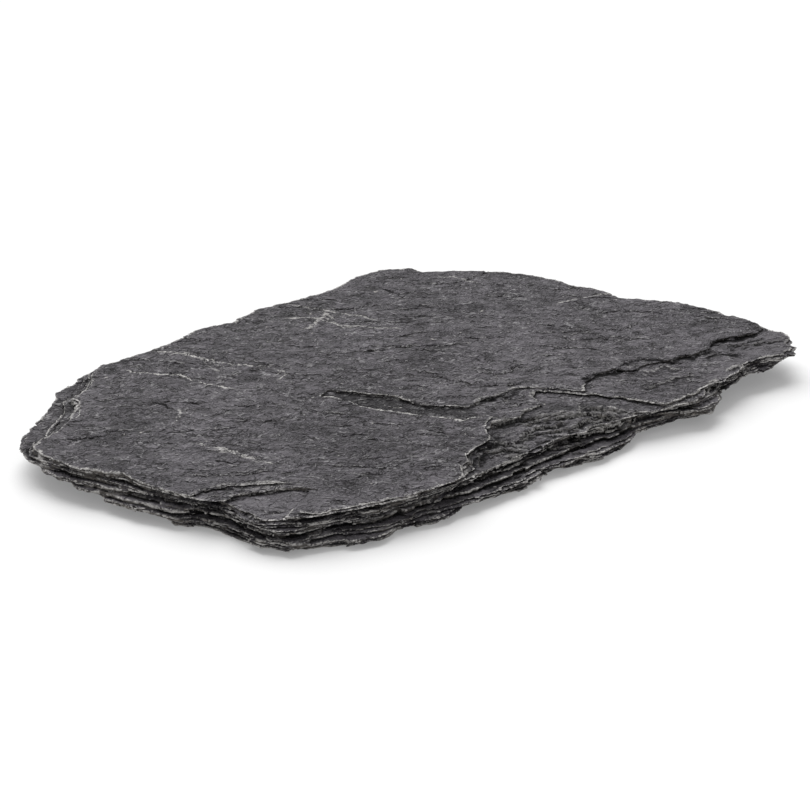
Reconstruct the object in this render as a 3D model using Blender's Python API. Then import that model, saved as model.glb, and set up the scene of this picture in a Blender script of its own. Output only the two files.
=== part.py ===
"""A rough-hewn slate slab, modelled in metres with +Z up.

The slab is one piece of stone.  Slate splits along parallel cleavage planes, so
its body is a pile of beds: each bed is a thin plate with its own broken outline,
and the plates together leave the stepped, layered rim of the real stone.  The
plates are joined into one closed solid.

The outlines are drawn in plan, in millimetres, anticlockwise from the west tip,
along the front edge (-Y), round the east tip and home along the back edge.
"""

import math
import random

import bmesh
import bpy

MM = 0.001

THICKNESS = 16.0        # mm, resting face to the highest cleavage plane
BED_OVERLAP = 0.2       # mm, how far each bed reaches down into the one below it
LONGEST_CHORD = 7.5     # mm, longest straight run left on a broken edge
EDGE_ROUGHNESS = 0.7    # mm, how far a broken edge wanders off its outline
CENTRE = (0.09, 0.97)    # mm, middle of the slab's footprint in the drawing below

# Each bed: name, level of its upper cleavage plane (mm), seed of its broken edge,
# and its outline.  The first bed starts at z = 0.
BEDS = [
    # The bed that the slab rests on.  It stops well short of both tips.
    ("bed_1_resting", 2.4, 11, [
        (-160, -26), (-153, -34), (-149, -44), (-147, -56), (-144, -69), (-137, -79),
        (-129, -84), (-119, -89), (-108, -94), (-99, -97), (-90, -95), (-80, -99),
        (-68, -102), (-57, -100), (-46, -102), (-35, -103), (-24, -105), (-15, -105),
        (-6, -101), (4, -100), (16, -104), (27, -107), (37, -106), (50, -103),
        (60, -97), (74, -93), (88, -88), (100, -79), (112, -66), (122, -48),
        (130, -28), (132, -6), (128, 16), (122, 38), (112, 58), (98, 76),
        (82, 88), (60, 96), (34, 99), (4, 102), (-28, 101), (-58, 98),
        (-86, 93), (-106, 82), (-122, 67), (-133, 48), (-141, 28), (-150, 8),
        (-157, -10),
    ]),
    ("bed_2", 4.6, 12, [
        (-166, -16), (-160, -30), (-151, -41), (-149, -55), (-147, -70), (-140, -82),
        (-131, -87), (-121, -91), (-111, -97), (-101, -100), (-92, -97), (-82, -101),
        (-70, -105), (-59, -102), (-49, -105), (-37, -106), (-26, -107), (-16, -109),
        (-8, -104), (2, -103), (14, -107), (25, -110), (35, -109), (48, -107),
        (57, -102), (67, -104), (77, -106), (88, -105), (99, -98), (112, -87),
        (124, -72), (134, -54), (141, -32), (143, -8), (139, 14), (132, 36),
        (121, 58), (107, 78), (90, 92), (66, 102), (38, 104), (6, 108),
        (-28, 106), (-60, 104), (-90, 101), (-114, 91), (-132, 76), (-146, 56),
        (-156, 36), (-165, 16), (-169, 0),
    ]),
    # The front ledge.
    ("bed_3_front_ledge", 6.4, 13, [
        (-171, -12), (-165, -28), (-153, -38), (-148, -48), (-148, -62), (-145, -73),
        (-139, -82), (-130, -84), (-120, -87), (-112, -92), (-104, -96), (-95, -98),
        (-85, -98), (-75, -99), (-66, -103), (-56, -106), (-45, -106), (-32, -106),
        (-20, -107), (-9, -106), (4, -106), (18, -106), (30, -109), (44, -109),
        (56, -106), (70, -107), (81, -111), (90, -116), (97, -117), (105, -111),
        (113, -102), (124, -92), (136, -80), (147, -62), (153, -40), (153, -14), (147, 10),
        (141, 32), (131, 54), (117, 76), (100, 94), (78, 106), (48, 106),
        (16, 110), (-14, 110), (-46, 110), (-76, 106), (-102, 105), (-124, 94),
        (-142, 79), (-156, 62), (-166, 44), (-173, 26), (-176, 8),
    ]),
    # A set-back band above the ledge, in its shadow along the front.
    ("bed_4", 8.6, 14, [
        (-168, -10), (-162, -27), (-152, -36), (-146, -47), (-145, -62), (-143, -72),
        (-136, -79), (-128, -80), (-118, -84), (-108, -89), (-96, -92), (-82, -94),
        (-68, -96), (-54, -96), (-42, -94), (-28, -93), (-14, -93), (2, -92),
        (16, -93), (30, -95), (44, -97), (58, -100), (72, -105), (84, -112),
        (94, -118), (103, -115), (110, -111), (118, -106), (128, -99), (141, -90), (153, -76),
        (160, -56), (160, -32), (155, -8), (151, 14), (145, 36), (134, 58),
        (119, 80), (102, 98), (80, 109), (50, 108), (20, 110), (-8, 112),
        (-40, 112), (-70, 109), (-98, 108), (-120, 100), (-141, 88), (-158, 74),
        (-171, 58), (-180, 44), (-183, 37), (-178, 29), (-180, 19), (-174, 8),
    ]),
    ("bed_5", 10.8, 15, [
        (-166, -6), (-162, -22), (-154, -34), (-148, -44), (-146, -56), (-145, -67),
        (-141, -76), (-134, -82), (-124, -84), (-113, -88), (-100, -92), (-86, -95),
        (-70, -97), (-56, -97), (-44, -93), (-30, -92), (-16, -91), (0, -91),
        (14, -92), (28, -94), (43, -97), (56, -100), (69, -104), (81, -111),
        (91, -117), (101, -116), (110, -111), (120, -107), (134, -107), (152, -107),
        (164, -105), (171, -97), (174, -84), (174, -68), (171, -50), (166, -28), (157, -10),
        (153, 10), (147, 34), (139, 54), (124, 78), (104, 99), (84, 112),
        (58, 111), (32, 110), (6, 113), (-22, 111), (-50, 112), (-78, 108),
        (-104, 110), (-124, 105), (-142, 95), (-158, 84), (-172, 72), (-179, 61),
        (-180, 52), (-186, 40), (-181, 27), (-174, 10),
    ]),
    # The middle terrace, and the shelf round the north-west corner.
    ("bed_6_terrace", 12.5, 16, [
        (-167, -2), (-162, -18), (-157, -30), (-151, -40), (-148, -50), (-147, -62),
        (-143, -71), (-136, -76), (-128, -82), (-115, -87), (-102, -90), (-88, -94),
        (-74, -97), (-60, -99), (-49, -98), (-40, -97), (-29, -97), (-16, -96),
        (-3, -97), (9, -95), (20, -95), (31, -98), (45, -101), (56, -102),
        (67, -104), (78, -110), (90, -114), (98, -112), (108, -106), (120, -101),
        (134, -99), (150, -99), (163, -100), (173, -97), (178, -86), (179, -68),
        (177, -46), (170, -26), (161, -10), (155, 4), (154, 18), (148, 36),
        (142, 54), (130, 72), (117, 87), (101, 101), (96, 110), (82, 116),
        (68, 115), (50, 112), (30, 113), (8, 115), (-12, 114), (-34, 114),
        (-58, 111), (-84, 109), (-104, 112), (-114, 113), (-124, 109), (-136, 105),
        (-141, 98), (-148, 92), (-156, 86), (-166, 80), (-175, 74), (-182, 65),
        (-186, 54), (-184, 43), (-179, 28), (-171, 13),
    ]),
    ("bed_7", 14.2, 17, [
        (-166, 4), (-164, -8), (-160, -22), (-156, -33), (-150, -42), (-148, -52),
        (-146, -63), (-142, -69), (-136, -74), (-129, -81), (-116, -86), (-102, -91),
        (-88, -95), (-74, -98), (-60, -99), (-52, -98), (-47, -94), (-41, -93),
        (-37, -86), (-29, -84), (-18, -84), (-12, -79), (-7, -71), (4, -71),
        (14, -73), (27, -70), (36, -75), (43, -81), (48, -90), (54, -99),
        (64, -106), (76, -109), (88, -113), (97, -111), (107, -106), (119, -104),
        (132, -102), (148, -103), (162, -105), (173, -103), (181, -98), (186, -91),
        (183, -74), (182, -54), (178, -38), (172, -24), (163, -11), (156, 1),
        (157, 14), (150, 28), (149, 41), (144, 56), (133, 71), (119, 88),
        (103, 100), (99, 109), (86, 116), (70, 118), (58, 114), (40, 112),
        (20, 113), (0, 117), (-20, 113), (-40, 116), (-60, 112), (-88, 110),
        (-104, 113), (-116, 109), (-122, 103), (-132, 95), (-141, 88), (-149, 78),
        (-159, 71), (-170, 63), (-179, 61), (-184, 54), (-183, 42), (-178, 26),
        (-171, 13),
    ]),
    # The thin sheet just under the top: the floors of the long scar, of the
    # front shelf and of the east flakes.
    ("bed_8_scar_floors", 15.2, 18, [
        (-165, 5), (-165, -6), (-161, -20), (-157, -31), (-152, -41), (-147, -45),
        (-138, -45), (-131, -48), (-124, -52), (-118, -56), (-113, -62), (-121, -67),
        (-129, -71), (-137, -75), (-129, -82), (-116, -87), (-101, -92), (-88, -97),
        (-74, -98), (-58, -99), (-52, -97), (-48, -92), (-41, -91), (-38, -85),
        (-30, -82), (-18, -81), (-14, -76), (-11, -71), (-5, -68), (6, -69),
        (17, -67), (28, -68), (30, -59), (37, -54), (42, -59), (46, -65),
        (50, -71), (55, -76), (60, -86), (66, -96), (73, -107), (82, -108),
        (92, -110), (100, -107), (109, -104), (118, -105), (125, -102), (138, -101),
        (150, -102), (162, -104), (174, -102), (182, -96), (186, -90), (183, -74),
        (183, -58), (180, -40), (174, -25), (165, -12), (157, 0), (158, 14),
        (151, 28), (150, 41), (145, 56), (135, 70), (121, 87), (103, 99),
        (101, 109), (86, 117), (70, 119), (58, 115), (40, 112), (20, 114),
        (0, 118), (-20, 114), (-40, 117), (-60, 112), (-88, 110), (-104, 113),
        (-115, 108), (-120, 101), (-130, 93), (-140, 86), (-147, 77), (-158, 70),
        (-169, 62), (-177, 61), (-182, 54), (-182, 40), (-178, 23), (-170, 11),
    ]),
    # The highest sheet.  The long scar runs into it from the front.
    ("bed_9_top", THICKNESS, 19, [
        (-165, 6), (-165, -5), (-160, -22), (-156, -32), (-147, -33), (-137, -36),
        (-128, -42), (-120, -48), (-114, -57), (-111, -66), (-120, -72), (-130, -77),
        (-124, -83), (-110, -88), (-97, -92), (-84, -97), (-70, -98), (-56, -99),
        (-51, -95), (-47, -90), (-41, -89), (-38, -84), (-30, -81), (-19, -80),
        (-15, -75), (-11, -69), (-7, -66), (0, -65), (-1, -58), (-14, -56),
        (-19, -48), (-25, -36), (-33, -24), (-39, -13), (-41, 0), (-46, 9),
        (-39, 12), (-33, 6), (-28, -3), (-20, -15), (-17, -29), (-9, -40),
        (-2, -48), (8, -45), (20, -48), (30, -46), (37, -51), (43, -58),
        (48, -66), (54, -72), (62, -64), (74, -62), (84, -64), (90, -71),
        (98, -76), (108, -73), (120, -75), (130, -79), (140, -85), (144, -80),
        (150, -73), (160, -76), (171, -79), (181, -77), (183, -62), (180, -41),
        (174, -25), (165, -12), (157, 0), (158, 13), (151, 28), (150, 40),
        (145, 55), (135, 70), (120, 87), (103, 99), (101, 109), (86, 117),
        (70, 119), (58, 115), (40, 112), (20, 114), (0, 118), (-20, 114),
        (-40, 117), (-60, 112), (-88, 110), (-104, 112), (-116, 106), (-121, 100),
        (-132, 92), (-141, 84), (-148, 75), (-160, 68), (-170, 61), (-178, 59),
        (-182, 50), (-181, 38), (-177, 22), (-171, 12),
    ]),
]


def broken_edge(outline, seed):
    """The outline with every run cut into short chords, each new corner moved a little off its line."""
    rng = random.Random(seed)
    points = []
    for (x0, y0), (x1, y1) in zip(outline, outline[1:] + outline[:1]):
        run = math.hypot(x1 - x0, y1 - y0)
        across = ((y1 - y0) / run, -(x1 - x0) / run)
        chords = max(1, math.ceil(run / LONGEST_CHORD))
        for i in range(chords):
            t = i / chords
            off = rng.uniform(-1.0, 1.0) * EDGE_ROUGHNESS * min(1.0, run / LONGEST_CHORD)
            points.append((
                x0 + (x1 - x0) * t + across[0] * off,
                y0 + (y1 - y0) * t + across[1] * off,
            ))
    return points


def plate(name, outline, bottom, top, material):
    """A closed plate: the outline at the bottom level, extruded up to the top level."""
    mesh = bpy.data.meshes.new(name)
    bm = bmesh.new()
    ring = [
        bm.verts.new(((x - CENTRE[0]) * MM, (y - CENTRE[1]) * MM, bottom * MM))
        for x, y in outline
    ]
    base = bm.faces.new(ring)
    raised = bmesh.ops.extrude_face_region(bm, geom=[base])["geom"]
    lifted = [item for item in raised if isinstance(item, bmesh.types.BMVert)]
    bmesh.ops.translate(bm, verts=lifted, vec=(0.0, 0.0, (top - bottom) * MM))
    bmesh.ops.recalc_face_normals(bm, faces=bm.faces)
    bm.to_mesh(mesh)
    bm.free()
    mesh.materials.append(material)
    obj = bpy.data.objects.new(name, mesh)
    bpy.context.scene.collection.objects.link(obj)
    return obj


def slate_material():
    material = bpy.data.materials.new("slate")
    material.use_nodes = True
    shader = material.node_tree.nodes["Principled BSDF"]
    shader.inputs["Base Color"].default_value = (0.118, 0.114, 0.122, 1.0)
    shader.inputs["Roughness"].default_value = 0.62
    shader.inputs["Metallic"].default_value = 0.0
    return material


def build():
    for obj in list(bpy.data.objects):
        bpy.data.objects.remove(obj, do_unlink=True)

    slate = slate_material()
    slab = None
    floor = 0.0
    for name, level, seed, outline in BEDS:
        bottom = floor if slab is None else floor - BED_OVERLAP
        bed = plate(name, broken_edge(outline, seed), bottom, level, slate)
        floor = level
        if slab is None:
            bed.name = "slate_slab"
            slab = bed
            continue
        bed.hide_render = True
        bed.display_type = "WIRE"
        union = slab.modifiers.new(name, "BOOLEAN")
        union.operation = "UNION"
        union.solver = "EXACT"
        union.object = bed


build()
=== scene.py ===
"""The looks of a rough-hewn slate slab: its stone surface, its light and its camera.

The stone is grown as a pile of thin sheets.  Every bed of the solid slab is split
into sheets of about a millimetre.  Each sheet has its own broken outline, with
scalloped chips and a dark parting under it.  The pile is turned into one closed
skin, the cleavage faces get their low relief, and the skin is thinned out.

Lengths are in millimetres until the mesh is made.
"""

import math

import bpy
import bmesh
import numpy as np
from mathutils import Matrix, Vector


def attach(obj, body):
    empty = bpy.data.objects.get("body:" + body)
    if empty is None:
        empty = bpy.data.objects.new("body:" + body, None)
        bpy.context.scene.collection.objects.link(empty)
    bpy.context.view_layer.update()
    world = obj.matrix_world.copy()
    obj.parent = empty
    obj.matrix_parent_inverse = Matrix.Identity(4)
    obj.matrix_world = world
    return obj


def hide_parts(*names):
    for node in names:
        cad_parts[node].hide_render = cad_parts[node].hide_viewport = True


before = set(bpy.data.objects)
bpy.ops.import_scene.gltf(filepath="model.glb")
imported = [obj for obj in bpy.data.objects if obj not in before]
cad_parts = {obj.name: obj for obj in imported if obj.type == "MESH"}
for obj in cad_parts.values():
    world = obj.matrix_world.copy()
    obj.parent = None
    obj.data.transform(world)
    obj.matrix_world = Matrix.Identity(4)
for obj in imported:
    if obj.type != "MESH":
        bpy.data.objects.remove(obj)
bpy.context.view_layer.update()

CENTRE = (0.09, 0.97)   # middle of the footprint in the outlines below
THICKNESS = 16.0
STEP = 0.7              # grid pitch in plan
SLICE = 0.4             # grid pitch in height
CLAMP = 1.2             # reach of the field on each side of the skin
REACH = 9.0             # how far from a rim the distance to it is kept
TRIANGLES = 197000
KEEP_INVERT = True
KEEP_FACTOR = 0.00004

# Each bed: level of its upper cleavage plane, and its outline in plan, anticlockwise.
BEDS = [
    # The bed that the slab rests on.  It stops well short of both tips.
    (2.4, [
        (-160, -26), (-153, -34), (-149, -44), (-147, -56), (-144, -69), (-137, -79),
        (-129, -84), (-119, -89), (-108, -94), (-99, -97), (-90, -95), (-80, -99),
        (-68, -102), (-57, -100), (-46, -102), (-35, -103), (-24, -105), (-15, -105),
        (-6, -101), (4, -100), (16, -104), (27, -107), (37, -106), (50, -103),
        (60, -97), (74, -93), (88, -88), (100, -79), (112, -66), (122, -48),
        (130, -28), (132, -6), (128, 16), (122, 38), (112, 58), (98, 76),
        (82, 88), (60, 96), (34, 99), (4, 102), (-28, 101), (-58, 98),
        (-86, 93), (-106, 82), (-122, 67), (-133, 48), (-141, 28), (-150, 8),
        (-157, -10),
    ]),
    (4.6, [
        (-166, -16), (-160, -30), (-151, -41), (-149, -55), (-147, -70), (-140, -82),
        (-131, -87), (-121, -91), (-111, -97), (-101, -100), (-92, -97), (-82, -101),
        (-70, -105), (-59, -102), (-49, -105), (-37, -106), (-26, -107), (-16, -109),
        (-8, -104), (2, -103), (14, -107), (25, -110), (35, -109), (48, -107),
        (57, -102), (67, -104), (77, -106), (88, -105), (99, -98), (112, -87),
        (124, -72), (134, -54), (141, -32), (143, -8), (139, 14), (132, 36),
        (121, 58), (107, 78), (90, 92), (66, 102), (38, 104), (6, 108),
        (-28, 106), (-60, 104), (-90, 101), (-114, 91), (-132, 76), (-146, 56),
        (-156, 36), (-165, 16), (-169, 0),
    ]),
    # The front ledge.
    (6.4, [
        (-171, -12), (-165, -28), (-153, -38), (-148, -48), (-148, -62), (-145, -73),
        (-139, -82), (-130, -84), (-120, -87), (-112, -92), (-104, -96), (-95, -98),
        (-85, -98), (-75, -99), (-66, -103), (-56, -106), (-45, -106), (-32, -106),
        (-20, -107), (-9, -106), (4, -106), (18, -106), (30, -109), (44, -109),
        (56, -106), (70, -107), (81, -111), (90, -116), (97, -117), (105, -111),
        (113, -102), (124, -92), (136, -80), (147, -62), (153, -40), (153, -14), (147, 10),
        (141, 32), (131, 54), (117, 76), (100, 94), (78, 106), (48, 106),
        (16, 110), (-14, 110), (-46, 110), (-76, 106), (-102, 105), (-124, 94),
        (-142, 79), (-156, 62), (-166, 44), (-173, 26), (-176, 8),
    ]),
    # A set-back band above the ledge, in its shadow along the front.
    (8.6, [
        (-168, -10), (-162, -27), (-152, -36), (-146, -47), (-145, -62), (-143, -72),
        (-136, -79), (-128, -80), (-118, -84), (-108, -89), (-96, -92), (-82, -94),
        (-68, -97.5), (-54, -99), (-42, -99), (-28, -100), (-14, -99), (2, -99.5),
        (16, -100), (30, -102), (44, -102.5), (58, -103), (72, -106), (84, -112),
        (94, -118), (103, -115), (110, -111), (118, -106), (128, -99), (141, -90), (153, -76),
        (160, -56), (160, -32), (155, -8), (151, 14), (145, 36), (134, 58),
        (119, 80), (102, 98), (80, 109), (50, 108), (20, 110), (-8, 112),
        (-40, 112), (-70, 109), (-98, 108), (-120, 100), (-141, 88), (-158, 74),
        (-171, 58), (-180, 44), (-183, 37), (-178, 29), (-180, 19), (-174, 8),
    ]),
    (10.8, [
        (-166, -6), (-162, -22), (-154, -34), (-148, -44), (-146, -56), (-145, -67),
        (-141, -76), (-134, -82), (-124, -84), (-113, -88), (-100, -92), (-86, -95),
        (-70, -97), (-56, -98), (-44, -95.5), (-30, -95.5), (-16, -94.5), (0, -94.5),
        (14, -94.5), (28, -96.5), (43, -99.5), (56, -101), (69, -104), (81, -111),
        (91, -117), (101, -116), (110, -111), (120, -107), (134, -107), (152, -107),
        (164, -105), (171, -97), (174, -84), (174, -68), (171, -50), (166, -28), (157, -10),
        (153, 10), (147, 34), (139, 54), (124, 78), (104, 99), (84, 112),
        (58, 111), (32, 110), (6, 113), (-22, 111), (-50, 112), (-78, 108),
        (-104, 110), (-124, 105), (-142, 95), (-158, 84), (-172, 72), (-179, 61),
        (-180, 52), (-186, 40), (-181, 27), (-174, 10),
    ]),
    # The middle terrace, and the shelf round the north-west corner.
    (12.5, [
        (-167, -2), (-162, -18), (-157, -30), (-151, -40), (-148, -50), (-147, -62),
        (-143, -71), (-136, -76), (-128, -82), (-115, -87), (-102, -90), (-88, -94),
        (-74, -97), (-60, -99), (-49, -98), (-40, -97), (-29, -97), (-16, -96),
        (-3, -97), (9, -95), (20, -95), (31, -98), (45, -101), (56, -102),
        (67, -104), (78, -110), (90, -114), (98, -113), (107, -111), (114, -108), (122, -108),
        (130, -106), (140, -104), (150, -103.5), (157, -105), (161, -107), (166, -105), (168, -101.5), (173, -102), (175, -97),
        (179, -94), (179, -88), (182, -82), (180, -68),
        (177, -46), (170, -26), (161, -10), (155, 4), (154, 18), (148, 36),
        (142, 54), (130, 72), (117, 87), (101, 101), (96, 110), (82, 116),
        (68, 115), (50, 112), (30, 113), (8, 115), (-12, 114), (-34, 114),
        (-58, 111), (-84, 109), (-104, 112), (-114, 113), (-124, 109), (-136, 105),
        (-141, 98), (-148, 92), (-156, 86), (-166, 80), (-175, 74), (-182, 65),
        (-186, 54), (-184, 43), (-179, 28), (-171, 13),
    ]),
    (14.2, [
        (-166, 4), (-164, -8), (-160, -22), (-156, -33), (-150, -42), (-148, -52),
        (-146, -63), (-142, -69), (-136, -74), (-129, -81), (-116, -86), (-102, -91),
        (-88, -95), (-74, -98), (-60, -99), (-52, -98), (-47, -94), (-41, -90.5),
        (-36, -84.5), (-29, -81), (-19, -80.5), (-15, -76), (-11, -71), (-5, -68.5), (3, -71),
        (12, -73), (17, -70), (27, -70), (32, -74), (37, -76), (43, -82), (49, -89), (54, -99),
        (64, -106), (76, -109), (88, -113), (97, -111), (107, -109), (118, -108),
        (124, -109), (132, -106), (146, -104.5), (154, -105), (160, -108.5), (166, -108), (169, -110), (171, -106), (176, -105),
        (177, -100), (182, -98), (183, -94.5), (186.2, -92), (184.5, -86), (184, -74), (182, -54), (178, -38), (172, -24), (163, -11), (156, 1),
        (157, 14), (150, 28), (149, 41), (144, 56), (133, 71), (119, 88),
        (103, 100), (99, 109), (86, 116), (70, 118), (58, 114), (40, 112),
        (20, 113), (0, 117), (-20, 113), (-40, 116), (-60, 112), (-88, 110),
        (-104, 113), (-117, 109), (-121, 105), (-128, 99.5), (-133, 95.5), (-141, 91),
        (-143, 87), (-147, 81), (-152, 77), (-160, 71.5),
        (-170, 63), (-179, 61), (-184, 54), (-183, 42), (-178, 26),
        (-171, 13),
    ]),
    # The thin sheet just under the top: the floors of the long scar, of the
    # front shelf and of the east flakes.
    (15.2, [
        (-165, 5), (-165, -6), (-161, -20), (-157, -31), (-152, -41), (-147, -45),
        (-138, -45), (-131, -48), (-124, -52), (-118, -56), (-113, -62), (-121, -67),
        (-129, -71), (-137, -75), (-129, -82), (-116, -87), (-101, -92), (-88, -97),
        (-74, -98), (-58, -99), (-52, -97), (-48, -92), (-41, -89.5), (-38, -84),
        (-30, -80.5), (-19, -79.8), (-15, -75.5), (-11, -70), (-5, -67), (3, -69.5),
        (10, -71), (16, -67.5), (28, -68), (30, -59), (37, -54), (42, -59), (46, -65),
        (50, -71), (55, -76), (60, -86), (66, -96), (73, -107), (82, -108),
        (92, -110), (100, -108), (108, -107), (114, -109), (121, -107), (128, -107), (138, -104),
        (147, -103.5), (153, -104), (158, -106.5), (163, -108), (167, -106), (169, -107.5), (174, -105), (175.5, -100.5),
        (179, -97.5), (183, -96), (184.5, -92), (185.5, -89), (183, -82), (184, -74),
        (183, -58), (180, -40), (174, -25), (165, -12), (157, 0), (158, 14),
        (151, 28), (150, 41), (145, 56), (135, 70), (121, 87), (103, 99),
        (101, 109), (86, 117), (70, 119), (58, 115), (40, 112), (20, 114),
        (0, 118), (-20, 114), (-40, 117), (-60, 112), (-88, 110), (-104, 113),
        (-115, 108), (-118.44, 102.94), (-124.44, 96.94), (-129.44, 93.44), (-138.44, 89.44), (-139.94, 84.44),
        (-143.44, 78.44), (-148.44, 74.44), (-157.44, 69.44),
        (-168.44, 61.44), (-176.44, 60.44), (-182, 54), (-182, 40), (-178, 23), (-170, 11),
    ]),
    # The highest sheet.  The long scar runs into it from the front.
    (THICKNESS, [
        (-165, 6), (-165, -5), (-160, -22), (-156, -32), (-147, -33), (-137, -36),
        (-128, -42), (-120, -48), (-114, -57), (-111, -66), (-120, -72), (-130, -77),
        (-124, -83), (-110, -88), (-97, -92), (-84, -97), (-70, -98), (-56, -99),
        (-51, -95), (-47, -90), (-41, -89), (-38, -84), (-30, -81), (-19, -80),
        (-15, -75), (-11, -69), (-7, -66), (0, -65), (-1, -58), (-14, -56),
        (-19, -48), (-25, -36), (-33, -24), (-39, -13), (-41, 0), (-46, 9),
        (-39, 12), (-33, 6), (-28, -3), (-20, -15), (-17, -29), (-9, -40),
        (-2, -48), (8, -45), (20, -48), (30, -46), (37, -51), (43, -58),
        (48, -66), (54, -72), (62, -64), (74, -62), (84, -64), (90, -71),
        (98, -70), (108, -72), (114, -76), (120, -75), (125, -78), (131, -79), (138, -79), (142, -77),
        (147, -74), (151, -74), (157, -76), (162, -79), (169, -81), (175, -82), (181, -80), (183, -74), (183, -62), (180, -41),
        (174, -25), (165, -12), (157, 0), (158, 13), (151, 28), (150, 40),
        (145, 55), (135, 70), (120, 87), (103, 99), (101, 109), (86, 117),
        (70, 119), (58, 115), (40, 112), (20, 114), (0, 118), (-20, 114),
        (-40, 117), (-60, 112), (-88, 110), (-104, 112), (-115, 106), (-118, 102),
        (-123.44, 94.44), (-126.44, 91.94), (-132, 91), (-138, 88), (-137.94, 83.44), (-141.44, 75.44),
        (-145.44, 71.44), (-152.44, 68.94), (-158, 66), (-164, 62), (-170, 59.5), (-176, 60),
        (-180, 56), (-182, 48), (-181, 38), (-177, 22), (-171, 12),
    ]),
]

# Thin sheets that break the slope above the middle terrace into small steps: level, front line.
# Elsewhere they end with the bed above the terrace.
STEPS = [
    (12.8, [(-47, -94), (-41, -93), (-37, -87.5), (-32, -86), (-26, -88), (-19, -89), (-14, -91.5), (-10, -90), (-6, -93),
            (2, -92), (8, -96), (14, -95), (20, -97.5), (26, -99.5), (31, -96), (37, -95), (44, -98.5), (50, -100.5), (54, -102)]),
    (13.2, [(-47, -94), (-41, -92), (-36, -86), (-30, -84), (-22, -84.5), (-16, -86.5), (-13, -83), (-8, -86.5), (-2, -84.5),
            (4, -84), (9, -86), (14, -88.5), (19, -92), (24, -91), (27, -92), (31, -89.5), (38, -89.5), (44, -94), (50, -97), (55, -101.5)]),
    (13.6, [(-47, -94), (-41, -91.5), (-36, -85), (-30, -82), (-22, -82), (-15, -82), (-11, -77), (-5, -79), (0, -81),
            (8, -80), (14, -82), (19, -84), (23, -84), (25, -81), (29, -82.5), (34, -84), (41, -88), (45, -91), (53, -94), (56, -101)]),
    (14.0, [(-47, -94), (-41, -90.8), (-36, -84.7), (-30, -81.2), (-20, -81), (-16, -78), (-12, -72.5), (-6, -70), (4, -73),
            (12, -75), (14, -77), (20, -73), (27, -74), (30, -79), (36, -80), (42, -86), (50, -88), (56, -100)]),
]


def with_steps(beds):
    """The beds, with the thin sheets put in above the terrace."""
    above = beds[TERRACE + 1][1]
    first, last = above.index((-47, -94)), above.index((54, -99))
    thin = [(level, above[:first] + line + above[last + 1:]) for level, line in STEPS]
    return beds[:TERRACE + 1] + thin + beds[TERRACE + 1:]


TERRACE = 5
BEDS = with_steps(BEDS)

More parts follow.
